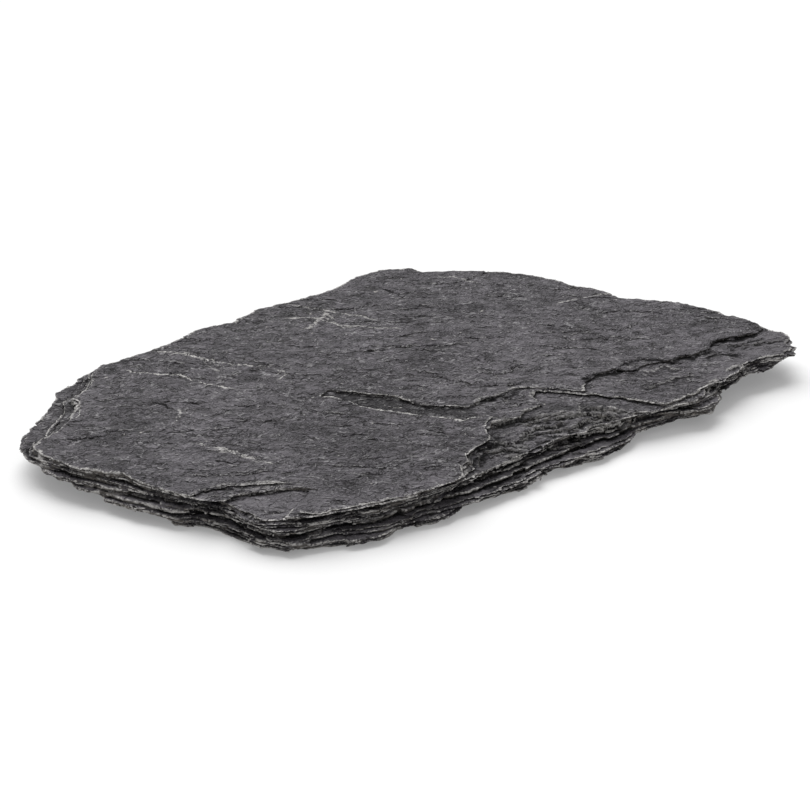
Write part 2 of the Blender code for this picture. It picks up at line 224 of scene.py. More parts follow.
# Small steps on the cleavage faces: height of the left side over the right, which also sets the painted shade on the
# low side, how far the rise fades on the high and on the low side, how pale the lip is (on veins the stone's colour,
# on step lips wear and painted highlight), the line.
LINES = [
    # scarps that look west, on the front terraces
    (0.9, 7, 4, 0.2, [(-23, -91), (-18, -94), (-14, -96.5), (-10, -99)]),
    (1.0, 8, 4, 0.2, [(8, -88), (13, -92), (18, -96), (22, -100)]),
    (0.7, 6, 4, 0.0, [(-1, -95), (5, -98), (10, -101)]),
    (0.8, 5, 4, 0.3, [(24, -95), (28, -91), (35, -90.5), (44, -96), (51, -101)]),
    # the broken ground between the middle terrace and the top
    (1.6, 4, 3, 0.20, [(-7, -66), (0, -69.5), (5, -70.5), (10, -73), (14, -76), (20, -76), (25, -79)]),
    (2.2, 5, 3, 0.25, [(-12, -84), (-7, -86), (-1, -83), (3, -82.5), (8, -81), (14, -83), (19, -85), (23, -85), (27, -88)]),
    (2.0, 5, 3, 0.15, [(-3, -87), (1, -84.5), (9, -85.5), (17, -90), (22, -94), (26, -100)]),
    (2.2, 4, 3, 0.25, [(22, -79), (26, -82), (29, -83), (34, -84), (41, -88), (44, -96), (53, -99)]),
    (1.8, 4, 3, 0.30, [(21, -91), (24, -93), (27, -92), (31, -90), (38, -90), (46, -95), (52, -98)]),
    (1.6, 5, 3, 0.25, [(-2, -91), (2, -92), (10, -97), (20, -98), (27, -100)]),
    (1.8, 4, 3, 0.20, [(5, -76), (12, -77), (19, -79), (25, -78), (31, -81), (37, -84)]),
    (1.8, 4, 3, 0.20, [(40, -83), (46, -88), (50, -93), (55, -98)]),
    (2.0, 5, 3, 0.15, [(-38, -92), (-34, -88), (-30, -85.5), (-26, -83.5), (-21, -84.5), (-16, -86), (-13, -90), (-9, -96)]),
    (1.6, 4, 3, 0.20, [(-24, -82), (-18, -81), (-13, -83), (-9, -88), (-5, -95)]),
    # the edge of the middle shelf
    (0.7, 7, 6, 0.2, [(0, -49), (5, -46), (10, -44.5), (17, -47), (24, -48.5), (30, -46)]),
    (0.7, 5, 4, 0.3, [(30, -56), (37, -53.5)]),
    (0.4, 4, 3, 0.4, [(36, -87.5), (42, -80), (46, -77)]),
    # flakes lifted off the east end
    (1.0, 9, 7, 0.05, [(61, -61), (70, -60), (75, -62), (80, -64), (86, -65), (90, -62), (93, -61), (97, -62), (101, -63), (106, -67),
                       (110, -71), (112, -75), (113, -77), (116, -75), (120, -75), (125, -78), (131, -79), (138, -79), (141, -78)]),
    (1.2, 6, 5, 0.0, [(140, -78), (144, -75), (147, -74), (150, -74), (157, -76), (162, -79), (169, -81), (175, -82)]),
    (0.9, 6, 5, 0.05, [(128, -83), (135, -84), (141, -86), (142, -89), (146, -96)]),
    (1.0, 5, 4, 0.05, [(143, -87), (147, -85), (150, -82), (156, -85), (162, -85), (168, -86), (174, -85)]),
    (0.8, 3, 3, 0.05, [(151, -90), (153, -89), (156, -87), (160, -88)]),
    (0.9, 5, 4, 0.10, [(160, -90), (164, -90), (168, -90), (172, -91), (175, -94), (179, -97)]),
    (0.9, 5, 4, 0.4, [(124, -104), (127, -102), (131, -101), (135, -102), (141, -104)]),
    (0.9, 5, 4, 0.4, [(101, -109), (105, -107), (109, -105), (114, -107), (118, -108)]),
    (0.5, 5, 4, 0.3, [(89, -65), (94, -69), (95, -77), (107, -77), (105, -82), (110, -88)]),
    (0.6, 6, 5, 0.2, [(77, -88), (85, -90), (92, -90), (101, -90), (107, -93), (110, -96)]),
    # the near side of the long scar
    (-0.35, 9, 5, 0.8, [(-52, 14), (-46, 9), (-42, 4), (-40, -6), (-38, -15), (-33, -23), (-27, -32), (-21, -44), (-16, -53), (-8, -57), (-1, -59), (1, -66)]),
    (0.35, 8, 4, 0.1, [(-37, 9), (-30, 0), (-24, -9), (-19, -18), (-17, -29), (-9, -40), (-2, -48)]),
    # the front left scar
    (0.3, 5, 4, 0.3, [(-158, -31), (-147, -32), (-137, -35), (-128, -41), (-120, -47), (-114, -56)]),
    (0.25, 4, 4, 0.3, [(-147, -44), (-138, -44), (-131, -47), (-124, -51), (-117, -56), (-112, -62)]),
    (-0.15, 5, 4, 0.0, [(-137, -75), (-128, -71), (-120, -67), (-111, -61)]),
    # pale veins that stand a hair proud
    (-0.10, 5, 5, 0.55, [(15, 112), (25, 96), (32, 79), (38, 62)]),
    (-0.10, 5, 5, 0.55, [(-2, 80), (8, 81), (24, 90), (18, 71), (18, 63)]),
    (-0.10, 5, 5, 0.50, [(-62, 95), (-64, 75), (-65, 64)]),
    (-0.10, 5, 5, 0.50, [(-122, -6), (-114, -10), (-111, -25), (-109, -37)]),
    (-0.10, 5, 5, 0.50, [(122, 15), (140, 14), (160, 6), (166, -7)]),
    (-0.10, 5, 5, 0.40, [(109, 108), (116, 99), (124, 84)]),
    (-0.10, 5, 5, 0.75, [(-100, 100), (-90, 85), (-82, 75), (-82, 65), (-77, 55), (-72, 45)]),
    (-0.12, 5, 5, 0.85, [(-75, 110), (-65, 95), (-62, 85), (-55, 70), (-48, 62), (-43, 55), (-40, 43)]),
    (0.10, 5, 5, 0.6, [(-40, 43), (-46, 40), (-52, 38)]),
    (-0.10, 6, 6, 0.5, [(2, 100), (15, 90), (17, 80), (20, 68), (30, 58), (38, 45)]),
    (-0.10, 5, 5, 0.5, [(105, 90), (112, 75), (116, 65)]),
    (-0.25, 4, 5, 0.6, [(-106, 43), (-111, 37), (-117, 32)]),
    (0.20, 4, 4, 0.55, [(-118, 103), (-122, 98), (-126, 94), (-132, 90), (-138, 87), (-139, 84), (-143, 78), (-147, 74), (-153, 69),
                       (-159, 65), (-165, 62), (-171, 59), (-174, 59), (-180, 56), (-183, 46), (-186, 39), (-184, 32), (-184, 26)]),
    (-0.20, 4, 4, 0.6, [(-126, 14), (-121, 4), (-117, -6), (-114, -18), (-112, -30)]),
]

# Open cracks: depth, half width, line.
CRACKS = [
    (0.55, 1.0, [(-167, 54), (-163, 50), (-157, 47), (-152, 42)]),
    (0.45, 0.9, [(-112, 60), (-104, 52), (-98, 46), (-95, 40)]),
    (0.45, 0.9, [(-70, -30), (-63, -34), (-57, -39)]),
    (0.40, 0.8, [(-128, 28), (-120, 22), (-113, 20)]),
    (0.40, 0.8, [(-20, 70), (-13, 62), (-8, 56)]),
    (0.40, 0.8, [(50, 60), (57, 52), (66, 47)]),
    (0.45, 0.8, [(68, 99), (71, 92), (70, 85), (68, 75)]),
    (0.45, 0.8, [(-110, 61), (-109, 50), (-108, 43)]),
    (0.35, 0.7, [(-158, 69), (-156, 64), (-154, 60)]),
    (0.45, 0.8, [(-126, -9), (-123, -18), (-115, -21)]),
    (0.35, 0.7, [(-34, -50), (-33, -56), (-30, -63)]),
    (0.30, 0.7, [(-62, 4), (-58, -4), (-52, -9)]),
    (0.30, 0.7, [(-88, 30), (-80, 24), (-74, 22)]),
    (0.30, 0.7, [(26, 20), (34, 12), (40, 2)]),
    (0.30, 0.7, [(96, 6), (100, -4), (108, -12)]),
]

# Parts of a cleavage face that lie a little higher or lower, or are painted lighter or darker,
# in places as painted shade or painted sheen: rise, softness, tone, outline.
PATCHES = [
    (-0.7, 0.4, 0.0, [(-41, -93), (-35, -89), (-28, -88), (-20, -92), (-13, -97), (-9, -101), (-26, -104), (-42, -103)]),
    (-0.5, 0.4, 0.50, [(-149, -45), (-147, -60), (-145, -68), (-137, -73), (-126, -70), (-113, -62), (-118, -55), (-128, -48), (-140, -45)]),
    (-0.5, 0.5, 0.0, [(22, -94), (28, -91), (35, -91), (44, -97), (50, -101), (50, -106), (35, -104), (21, -100)]),
    (-0.35, 2.0, 0.0, [(150, -75), (160, -78), (170, -81), (180, -79), (184, -92), (176, -104), (158, -104), (152, -96), (147, -86)]),
    # the front left scar runs out into the top
    (0.85, 7.0, 0.0, [(-125, -56), (-117, -50), (-108, -58), (-109, -70), (-120, -76), (-128, -74), (-126, -64)]),
    # the long scar: its floor is fresh, and painted dark as shade
    (-0.35, 0.6, -0.85, [(-39, 10), (-41, 0), (-38, -12), (-33, -22), (-25, -34), (-19, -46), (-14, -54), (-4, -58), (-1, -50), (-9, -41), (-17, -30), (-20, -16), (-28, -4), (-33, 5)]),
    # the broken slope above the middle terrace
    (0.0, 0.8, -0.35, [(-42, -90), (-36, -84), (-29, -81), (-18, -80), (-12, -71), (-6, -66), (4, -69), (14, -72), (18, -68), (28, -69),
                       (36, -75), (44, -81), (52, -84), (53, -88), (43, -86), (34, -80), (27, -74), (20, -73), (14, -77), (3, -74),
                       (-5, -71), (-9, -77), (-15, -85), (-22, -84.5), (-27, -84), (-33, -88), (-38, -92)]),
    (0.0, 1.0, -0.20, [(-30, -79), (-15, -75), (-9, -68), (4, -70), (27, -69), (36, -75), (48, -88), (60, -101), (48, -94), (39, -89), (28, -91), (24, -97), (12, -85), (2, -82), (-10, -80), (-17, -84)]),
    (0.0, 1.0, 0.30, [(-9, -85), (-8, -94), (6, -95.5), (20, -95), (12, -88), (2, -84)]),
    # a lighter border behind the front left rim: painted sheen
    (0.0, 5.0, 0.35, [(-168, 0), (-158, -22), (-150, -34), (-158, -40), (-172, -10)]),
    (0.0, 5.0, 0.40, [(-130, -68), (-112, -72), (-96, -82), (-80, -88), (-60, -90), (-50, -98), (-90, -102), (-130, -84)]),
    (0.0, 5.0, 0.25, [(-30, -72), (-10, -62), (-12, -82), (-34, -86)]),
    # the shelf round the north-west corner, painted darker as shade
    (-0.5, 0.6, -0.55, [(-118, 103), (-122, 98), (-126, 94), (-132, 90), (-138, 87), (-139, 84), (-143, 78), (-147, 74), (-153, 69),
                        (-159, 65), (-165, 62), (-171, 59), (-176, 58), (-180, 56), (-183, 49), (-190, 53), (-184, 63), (-176, 66),
                        (-169, 69), (-158, 76), (-151, 82), (-148, 87), (-143, 95), (-136, 98), (-130, 102), (-123, 109)]),
    (0.0, 1.0, -0.30, [(-112, 108), (-122, 99), (-133, 91), (-142, 82), (-150, 73), (-161, 67), (-171, 60), (-181, 58), (-192, 62), (-175, 84), (-150, 100), (-130, 114)]),
]

# Floors of the scars, smoother than the old faces.
SMOOTH = [
    [(-39, 10), (-41, 0), (-38, -12), (-33, -22), (-25, -34), (-19, -46), (-14, -54), (-4, -58), (-1, -50), (-9, -41), (-17, -30), (-20, -16), (-28, -4), (-33, 5)],
    [(-149, -45), (-147, -60), (-145, -68), (-137, -75), (-122, -80), (-110, -74), (-108, -62), (-118, -52), (-128, -46), (-140, -42)],
    [(150, -76), (160, -79), (172, -83), (184, -84), (186, -92), (176, -106), (158, -106), (148, -100), (144, -90)],
]

# Ground where the flakes are broken short.
BROKEN = [
    [(-9, -67), (4, -70), (14, -71), (27, -69), (36, -75), (48, -84), (60, -99), (48, -94), (39, -89), (28, -91), (24, -97), (12, -88),
     (2, -83), (-10, -80), (-17, -84), (-14, -76)],
    [(-46, -92), (-36, -85), (-20, -83), (-12, -88), (-10, -96), (-24, -90), (-36, -94)],
    [(96, -107), (104, -101), (122, -99), (140, -96), (150, -99), (140, -104), (122, -107), (108, -110)],
]

# Where a step dies out: its edge gets neither wear nor painted highlight on the lip, and no painted shadow at its
# foot.
CALM = [
    [(-119, -53), (-113, -52), (-107, -58), (-107, -68), (-117, -74), (-128, -76), (-127, -70), (-119, -66), (-117, -60)],
]

# Fresh breaks inside the top face.
FRESH = [
    [(58, -54), (62, -68), (90, -76), (112, -82), (136, -92), (150, -95), (168, -94), (180, -92), (180, -76), (150, -66), (112, -64), (90, -54)],
]

# Deep open partings under a rim: from, to, depth, half length of its reach, line.
GAPS = [
    (12.6, 15.0, 3.2, 6.0, [(-158, -26), (-152, -36), (-148, -42), (-147, -52), (-145, -64)]),
    (9.4, 11.2, 2.6, 6.0, [(-166, -8), (-160, -24), (-151, -38), (-147, -52)]),
    (5.6, 7.0, 2.4, 6.0, [(-166, -10), (-160, -26), (-150, -42), (-147, -56), (-143, -72)]),
    (12.6, 15.0, 3.4, 7.0, [(-134, -79), (-124, -85), (-110, -90), (-96, -94), (-86, -97)]),
    (12.6, 14.9, 3.0, 7.0, [(98, -108), (110, -104), (125, -102), (140, -101), (152, -101)]),
    (10.0, 12.0, 3.4, 7.0, [(64, -104), (76, -109), (88, -114)]),
    (8.8, 10.4, 2.4, 6.0, [(-104, -86), (-86, -93), (-71, -96), (-50, -96)]),
    (2.5, 4.0, 2.6, 6.0, [(-60, -102), (-40, -105), (-20, -107), (0, -103), (20, -108)]),
    (4.7, 6.0, 2.2, 6.0, [(60, -104), (76, -108), (90, -110), (104, -102)]),
]

# Flat chips of the cleavage faces: seed, size, rise, tilt, share of the face.
CHIPS = [
    (71, 24.0, 0.40, 0.012, 0.0),
    (72, 11.0, 0.34, 0.030, 0.0),
    (73, 5.5, 0.26, 0.050, 0.1),
    (74, 2.9, 0.16, 0.070, 0.2),
]

# ---------------------------------------------------------------- noise

def lattice(seed):
    rng = np.random.RandomState(seed)
    order = rng.permutation(256)
    return np.concatenate([order, order, order]), rng


def fade(t):
    return t * t * t * (t * (t * 6 - 15) + 10)


def noise2(x, y, seed):
    """Gradient noise in the plane, about -1 to 1, with features about one unit across."""
    order, rng = lattice(seed)
    turn = rng.uniform(0, 2 * np.pi, 256)
    gx, gy = np.cos(turn).astype(np.float32), np.sin(turn).astype(np.float32)
    ix, iy = np.floor(x).astype(np.int32), np.floor(y).astype(np.int32)
    fx, fy = (x - ix).astype(np.float32), (y - iy).astype(np.float32)
    u, v = fade(fx), fade(fy)

    def corner(dx, dy):
        h = order[order[(ix + dx) & 255] + ((iy + dy) & 255)]
        return gx[h] * (fx - dx) + gy[h] * (fy - dy)

    a = corner(0, 0)
    a += u * (corner(1, 0) - a)
    b = corner(0, 1)
    b += u * (corner(1, 1) - b)
    return 1.5 * (a + v * (b - a))


def noise3(x, y, z, seed):
    """Gradient noise in space, about -1 to 1."""
    order, rng = lattice(seed)
    g = rng.normal(size=(256, 3)).astype(np.float32)
    g /= np.linalg.norm(g, axis=1)[:, None]
    i = [np.floor(c).astype(np.int32) for c in (x, y, z)]
    f = [(c - n).astype(np.float32) for c, n in zip((x, y, z), i)]
    u, v, w = (fade(t) for t in f)

    def corner(dx, dy, dz):
        h = order[order[order[(i[0] + dx) & 255] + ((i[1] + dy) & 255)] + ((i[2] + dz) & 255)]
        return g[h, 0] * (f[0] - dx) + g[h, 1] * (f[1] - dy) + g[h, 2] * (f[2] - dz)

    def plane(dz):
        a = corner(0, 0, dz)
        a += u * (corner(1, 0, dz) - a)
        b = corner(0, 1, dz)
        b += u * (corner(1, 1, dz) - b)
        return a + v * (b - a)

    low = plane(0)
    return 1.5 * (low + w * (plane(1) - low))


def fbm2(x, y, seed, octaves=3, gain=0.5):
    total, weight, size = 0.0, 1.0, 0.0
    for k in range(octaves):
        total = total + weight * noise2(x * 2 ** k + 17.3 * k, y * 2 ** k - 9.1 * k, seed + 31 * k)
        size += weight
        weight *= gain
    return total / size


def cells2(x, y, seed, jitter=0.9):
    """A scatter of points about one unit apart: a value from 0 to 1 for the nearest one, and the way to it."""
    order, rng = lattice(seed)
    px, py, tone = (rng.uniform(0, 1, 256).astype(np.float32) for _ in range(3))
    ix, iy = np.floor(x).astype(np.int32), np.floor(y).astype(np.int32)
    fx, fy = (x - ix).astype(np.float32), (y - iy).astype(np.float32)
    best = np.full(x.shape, 9.0, np.float32)
    value, far_x, far_y = (np.zeros(x.shape, np.float32) for _ in range(3))
    for dx in (-1, 0, 1):
        for dy in (-1, 0, 1):
            h = order[order[(ix + dx) & 255] + ((iy + dy) & 255)]
            cx = dx + 0.5 + jitter * (px[h] - 0.5) - fx
            cy = dy + 0.5 + jitter * (py[h] - 0.5) - fy
            d = cx * cx + cy * cy
            near = d < best
            best = np.where(near, d, best)
            value = np.where(near, tone[h], value)
            far_x, far_y = np.where(near, cx, far_x), np.where(near, cy, far_y)
    return value, far_x, far_y


def smooth(low, high, value):
    t = np.clip((value - low) / (high - low), 0, 1)
    return t * t * (3 - 2 * t)


# ---------------------------------------------------------------- plan shapes

def depth_inside(x, y, outline):
    """Distance to the outline, positive inside it."""
    points = np.array(outline, np.float32)
    d2 = np.full(x.shape, 1e9, np.float32)
    odd = np.zeros(x.shape, bool)
    for (x0, y0), (x1, y1) in zip(points, np.roll(points, -1, 0)):
        ex, ey = x1 - x0, y1 - y0
        wx, wy = x - x0, y - y0
        t = np.clip((wx * ex + wy * ey) / (ex * ex + ey * ey), 0, 1)
        np.minimum(d2, (wx - t * ex) ** 2 + (wy - t * ey) ** 2, out=d2)
        if ey != 0:
            odd ^= ((y0 > y) != (y1 > y)) & (wx < ex * wy / ey)
    d = np.sqrt(d2)
    return np.where(odd, d, -d)


def along_line(x, y, line, ends):
    """Signed distance to a line, positive on its left, and 1 on the line fading to 0 at its ends."""
    points = np.array(line, np.float32)
    runs = np.linalg.norm(np.diff(points, axis=0), axis=1)
    total, at = runs.sum(), 0.0
    best = np.full(x.shape, 1e9, np.float32)
    side = np.ones(x.shape, np.float32)
    place = np.zeros(x.shape, np.float32)
    for (x0, y0), (x1, y1), run in zip(points[:-1], points[1:], runs):
        ex, ey = (x1 - x0) / run, (y1 - y0) / run
        wx, wy = x - x0, y - y0
        t = np.clip(wx * ex + wy * ey, 0, run)
        d2 = (wx - t * ex) ** 2 + (wy - t * ey) ** 2
        near = d2 < best
        best = np.where(near, d2, best)
        side = np.where(near, np.sign(ex * wy - ey * wx), side)
        place = np.where(near, at + t, place)
        at += run
    edge = smooth(0, ends, np.minimum(place, total - place) + 0.15 * ends)
    return np.sqrt(best) * side, edge


# ---------------------------------------------------------------- the pile of sheets

def sheets():
    """(first slice, last slice, bed) of every sheet, from the bottom up.  Thin and thick ones alternate."""
    rng = np.random.RandomState(12)
    made, floor = [], 0
    for bed, (level, _) in enumerate(BEDS):
        top = round(level / SLICE)
        while floor < top:
            thick = int(rng.choice([2, 2, 3, 3, 4])) if bed <= TERRACE else 2
            if top - floor - thick < 2:
                thick = top - floor
            made.append((floor, floor + thick, bed))
            floor += thick
    return made


def pile(xs, ys):
    """How deep each place lies inside its sheet, over the grid, with one empty slice below and one above."""
    x, y = np.meshgrid(xs, ys, indexing="ij")
    x, y = x.astype(np.float32), y.astype(np.float32)
    depth = [depth_inside(x, y, outline) for _, outline in BEDS]
    slices = round(THICKNESS / SLICE)
    reach = np.full((len(xs), len(ys), slices + 2), -REACH, np.float32)
    rng = np.random.RandomState(5)
    split = smooth(-0.30, 0.25, noise2(x / 30, y / 30, 901))     # where the rim is finely split
    gaps = []
    for low, high, deep, wide, line in GAPS:
        d, edge = along_line(x, y, line, 6.0)
        gaps.append((low, high, deep * edge * np.exp(-(d / wide) ** 2)))
    last_bed, shared = None, None
    tops = [0] + [round(level / SLICE) for level, _ in BEDS]
    for number, (a, b, bed) in enumerate(sheets()):
        if bed != last_bed:
            wx, wy = x + 2.0 * noise2(x / 9, y / 9, 350 + bed), y + 2.0 * noise2(x / 9, y / 9, 360 + bed)
            chip, _, _ = cells2(wx / 19, wy / 19, 300 + bed)
            shared = 2.2 * smooth(0.35, 0.95, chip) + 1.0 * np.abs(noise2(x / 7.5, y / 7.5, 330 + bed)) - 0.95
            last_bed = bed
        wx = x + 1.3 * noise2(x / 4.5, y / 4.5, 370 + number)
        wy = y + 1.3 * noise2(x / 4.5, y / 4.5, 390 + number)
        chip, _, _ = cells2(wx / 9.5, wy / 9.5, 400 + number)
        nib, _, _ = cells2(wx / 4.0, wy / 4.0, 440 + number)
        own = 2.0 * smooth(0.4, 0.95, chip) + 1.0 * nib + 0.5 * np.abs(noise2(x / 2.1, y / 2.1, 480 + number)) - 1.15
        drift = 1.5 * noise2(x / 36, y / 36, 620 + number) + rng.uniform(-0.5, 0.5)
        middle = ((a + b) / 2 - tops[bed]) / (tops[bed + 1] - tops[bed])
        base = depth[bed]
        if bed <= TERRACE:
            down, up = max(0.0, 0.5 - middle) * 0.55, max(0.0, middle - 0.5) * 0.55
            if bed > 0:
                base = base + down * np.clip(depth[bed - 1] - base, -14, 14)
            if bed < TERRACE:
                base = base + up * np.clip(depth[bed + 1] - base, -14, 14)
        calm = 0.55 if bed > TERRACE else (0.8 if bed == TERRACE else 1.0)
        shape = base - calm * (0.8 * shared + own * (0.25 + 0.75 * split) + drift * (0.2 + 0.8 * split))
        parting = smooth(0.0, 0.8, 0.45 + 0.7 * noise2(x / 11, y / 11, 520 + number)) * (0.15 + 0.85 * split)
        for k in range(a, b):
            cut = shape
            if k == a and a > 0 and b - a > 1:
                cut = shape - parting * (2.6 if bed <= TERRACE else 1.4)
            elif k == b - 1 and b - a > 2:
                cut = shape - 0.3
            height = (k + 0.5) * SLICE
            for low, high, gap in gaps:
                if low < height < high:
                    cut = cut - gap
            reach[:, :, k + 1] = cut
    return np.clip(reach, -REACH, REACH)


def break_up(reach, xs, ys):
    """The field for the skin: close to it the stone is roughly broken."""
    field = np.clip(reach, -CLAMP, CLAMP)
    i, j, k = np.nonzero(np.abs(field) < CLAMP * 0.98)
    field[i, j, k] += 0.5 * noise3(xs[i] / 3.0, ys[j] / 3.0, k * SLICE / 1.4, 601)
    return field


def skin(field, xs, ys):
    """The surface where the field is zero, as corner places in grid units and four-sided faces turned outwards."""
    inside = field > 0
    n = np.array(inside.shape) - 1
    count = np.zeros(n, np.uint8)
    for dx in (0, 1):
        for dy in (0, 1):
            for dz in (0, 1):
                count += inside[dx:dx + n[0], dy:dy + n[1], dz:dz + n[2]]
    cells = np.flatnonzero((count > 0) & (count < 8))
    number = np.full(n.prod(), -1, np.int32)
    number[cells] = np.arange(len(cells))
    ci, cj, ck = np.unravel_index(cells, n)
    total = np.zeros((len(cells), 3), np.float32)
    hits = np.zeros(len(cells), np.float32)
    corners = [(dx, dy, dz) for dx in (0, 1) for dy in (0, 1) for dz in (0, 1)]
    value = {c: field[ci + c[0], cj + c[1], ck + c[2]] for c in corners}
    for c in corners:
        for axis in range(3):
            if c[axis]:
                continue
            d = tuple(1 if i == axis else c[i] for i in range(3))
            f0, f1 = value[c], value[d]
            cross = (f0 > 0) != (f1 > 0)
            t = np.where(cross, f0 / np.where(cross, f0 - f1, 1), 0)
            place = np.empty((len(cells), 3), np.float32)
            for i in range(3):
                place[:, i] = c[i] + (t if i == axis else 0)
            total += place * cross[:, None]
            hits += cross
    verts = np.stack([ci, cj, ck], 1) + total / hits[:, None]
    number = number.reshape(n)
    faces = []
    for axis in range(3):
        u, v = (axis + 1) % 3, (axis + 2) % 3
        first = [slice(None)] * 3
        second = [slice(None)] * 3
        first[axis], second[axis] = slice(None, -1), slice(1, None)
        a, b = inside[tuple(first)], inside[tuple(second)]
        at = np.array(np.nonzero(a != b))
        keep = (at[u] > 0) & (at[v] > 0) & (at[u] < inside.shape[u] - 1) & (at[v] < inside.shape[v] - 1)
        at = at[:, keep]
        outward = a[tuple(at)]

        def cell(du, dv):
            spot = at.copy()
            spot[u] -= du
            spot[v] -= dv
            return number[tuple(spot)]

        quad = np.stack([cell(1, 1), cell(0, 1), cell(0, 0), cell(1, 0)], 1)
        quad[~outward] = quad[~outward][:, ::-1]
        faces.append(quad)
    return verts, np.concatenate(faces)


def largest(verts, faces):
    """The biggest connected piece of the skin alone."""
    label = np.arange(len(verts))
    for _ in range(400):
        low = label[faces].min(1)
        before = label.copy()
        for c in range(4):
            np.minimum.at(label, faces[:, c], low)
        label = label[label]
        if (label == before).all():
            break
    counts = np.bincount(label, minlength=len(verts))
    keep = label == counts.argmax()
    index = np.cumsum(keep) - 1
    return verts[keep], index[faces[keep[faces[:, 0]]]], keep


def box_blur(volume, half):
    """Mean over a box of (2 half + 1) cells a side, axis by axis."""
    out = volume.astype(np.float32)
    for axis, h in enumerate(half):
        if h == 0:
            continue
        pad = [(0, 0)] * 3
        pad[axis] = (h + 1, h)
        run = np.cumsum(np.pad(out, pad, mode="edge"), axis=axis, dtype=np.float32 if axis == 2 else np.float64)
        take = [slice(None)] * 3
        take2 = [slice(None)] * 3
        take[axis] = slice(2 * h + 1, None)
        take2[axis] = slice(None, -(2 * h + 1))
        out = ((run[tuple(take)] - run[tuple(take2)]) / (2 * h + 1)).astype(np.float32)
    return out


def sample3(volume, p):
    """The volume read between its cells at places in grid units."""
    top = np.array(volume.shape) - 1.001
    p = np.clip(p, 0, top)
    i = np.floor(p).astype(np.int32)
    f = (p - i).astype(np.float32)
    out = 0
    for dx in (0, 1):
        for dy in (0, 1):
            for dz in (0, 1):
                w = (np.abs(1 - dx - f[:, 0]) * np.abs(1 - dy - f[:, 1]) * np.abs(1 - dz - f[:, 2]))
                out = out + w * volume[i[:, 0] + dx, i[:, 1] + dy, i[:, 2] + dz]
    return out


def sample2(grid, origin, pitch, x, y):
    gx = np.clip((x - origin[0]) / pitch, 0, grid.shape[0] - 1.001)
    gy = np.clip((y - origin[1]) / pitch, 0, grid.shape[1] - 1.001)
    i, j = np.floor(gx).astype(np.int32), np.floor(gy).astype(np.int32)
    fx, fy = gx - i, gy - j
    return ((grid[i, j] * (1 - fx) + grid[i + 1, j] * fx) * (1 - fy)
            + (grid[i, j + 1] * (1 - fx) + grid[i + 1, j + 1] * fx) * fy)


def vertex_normals(verts, faces):
    a = verts[faces[:, 2]] - verts[faces[:, 0]]
    b = verts[faces[:, 3]] - verts[faces[:, 1]]
    face = np.cross(a, b)
    out = np.stack([
        np.bincount(faces.ravel(), np.repeat(face[:, c], 4), len(verts)) for c in range(3)
    ], 1)
    return out / np.maximum(np.linalg.norm(out, axis=1), 1e-9)[:, None]


# ---------------------------------------------------------------- relief of the cleavage faces

PITCH = 0.35
LOW = (-193.0, -125.0)


def window(points, reach):
    """The part of the relief grid within reach of some points."""
    points = np.array(points)
    i0, j0 = np.maximum(((points.min(0) - reach - LOW) / PITCH).astype(int), 0)
    i1, j1 = ((points.max(0) + reach - LOW) / PITCH).astype(int) + 1
    return slice(i0, i1), slice(j0, j1)


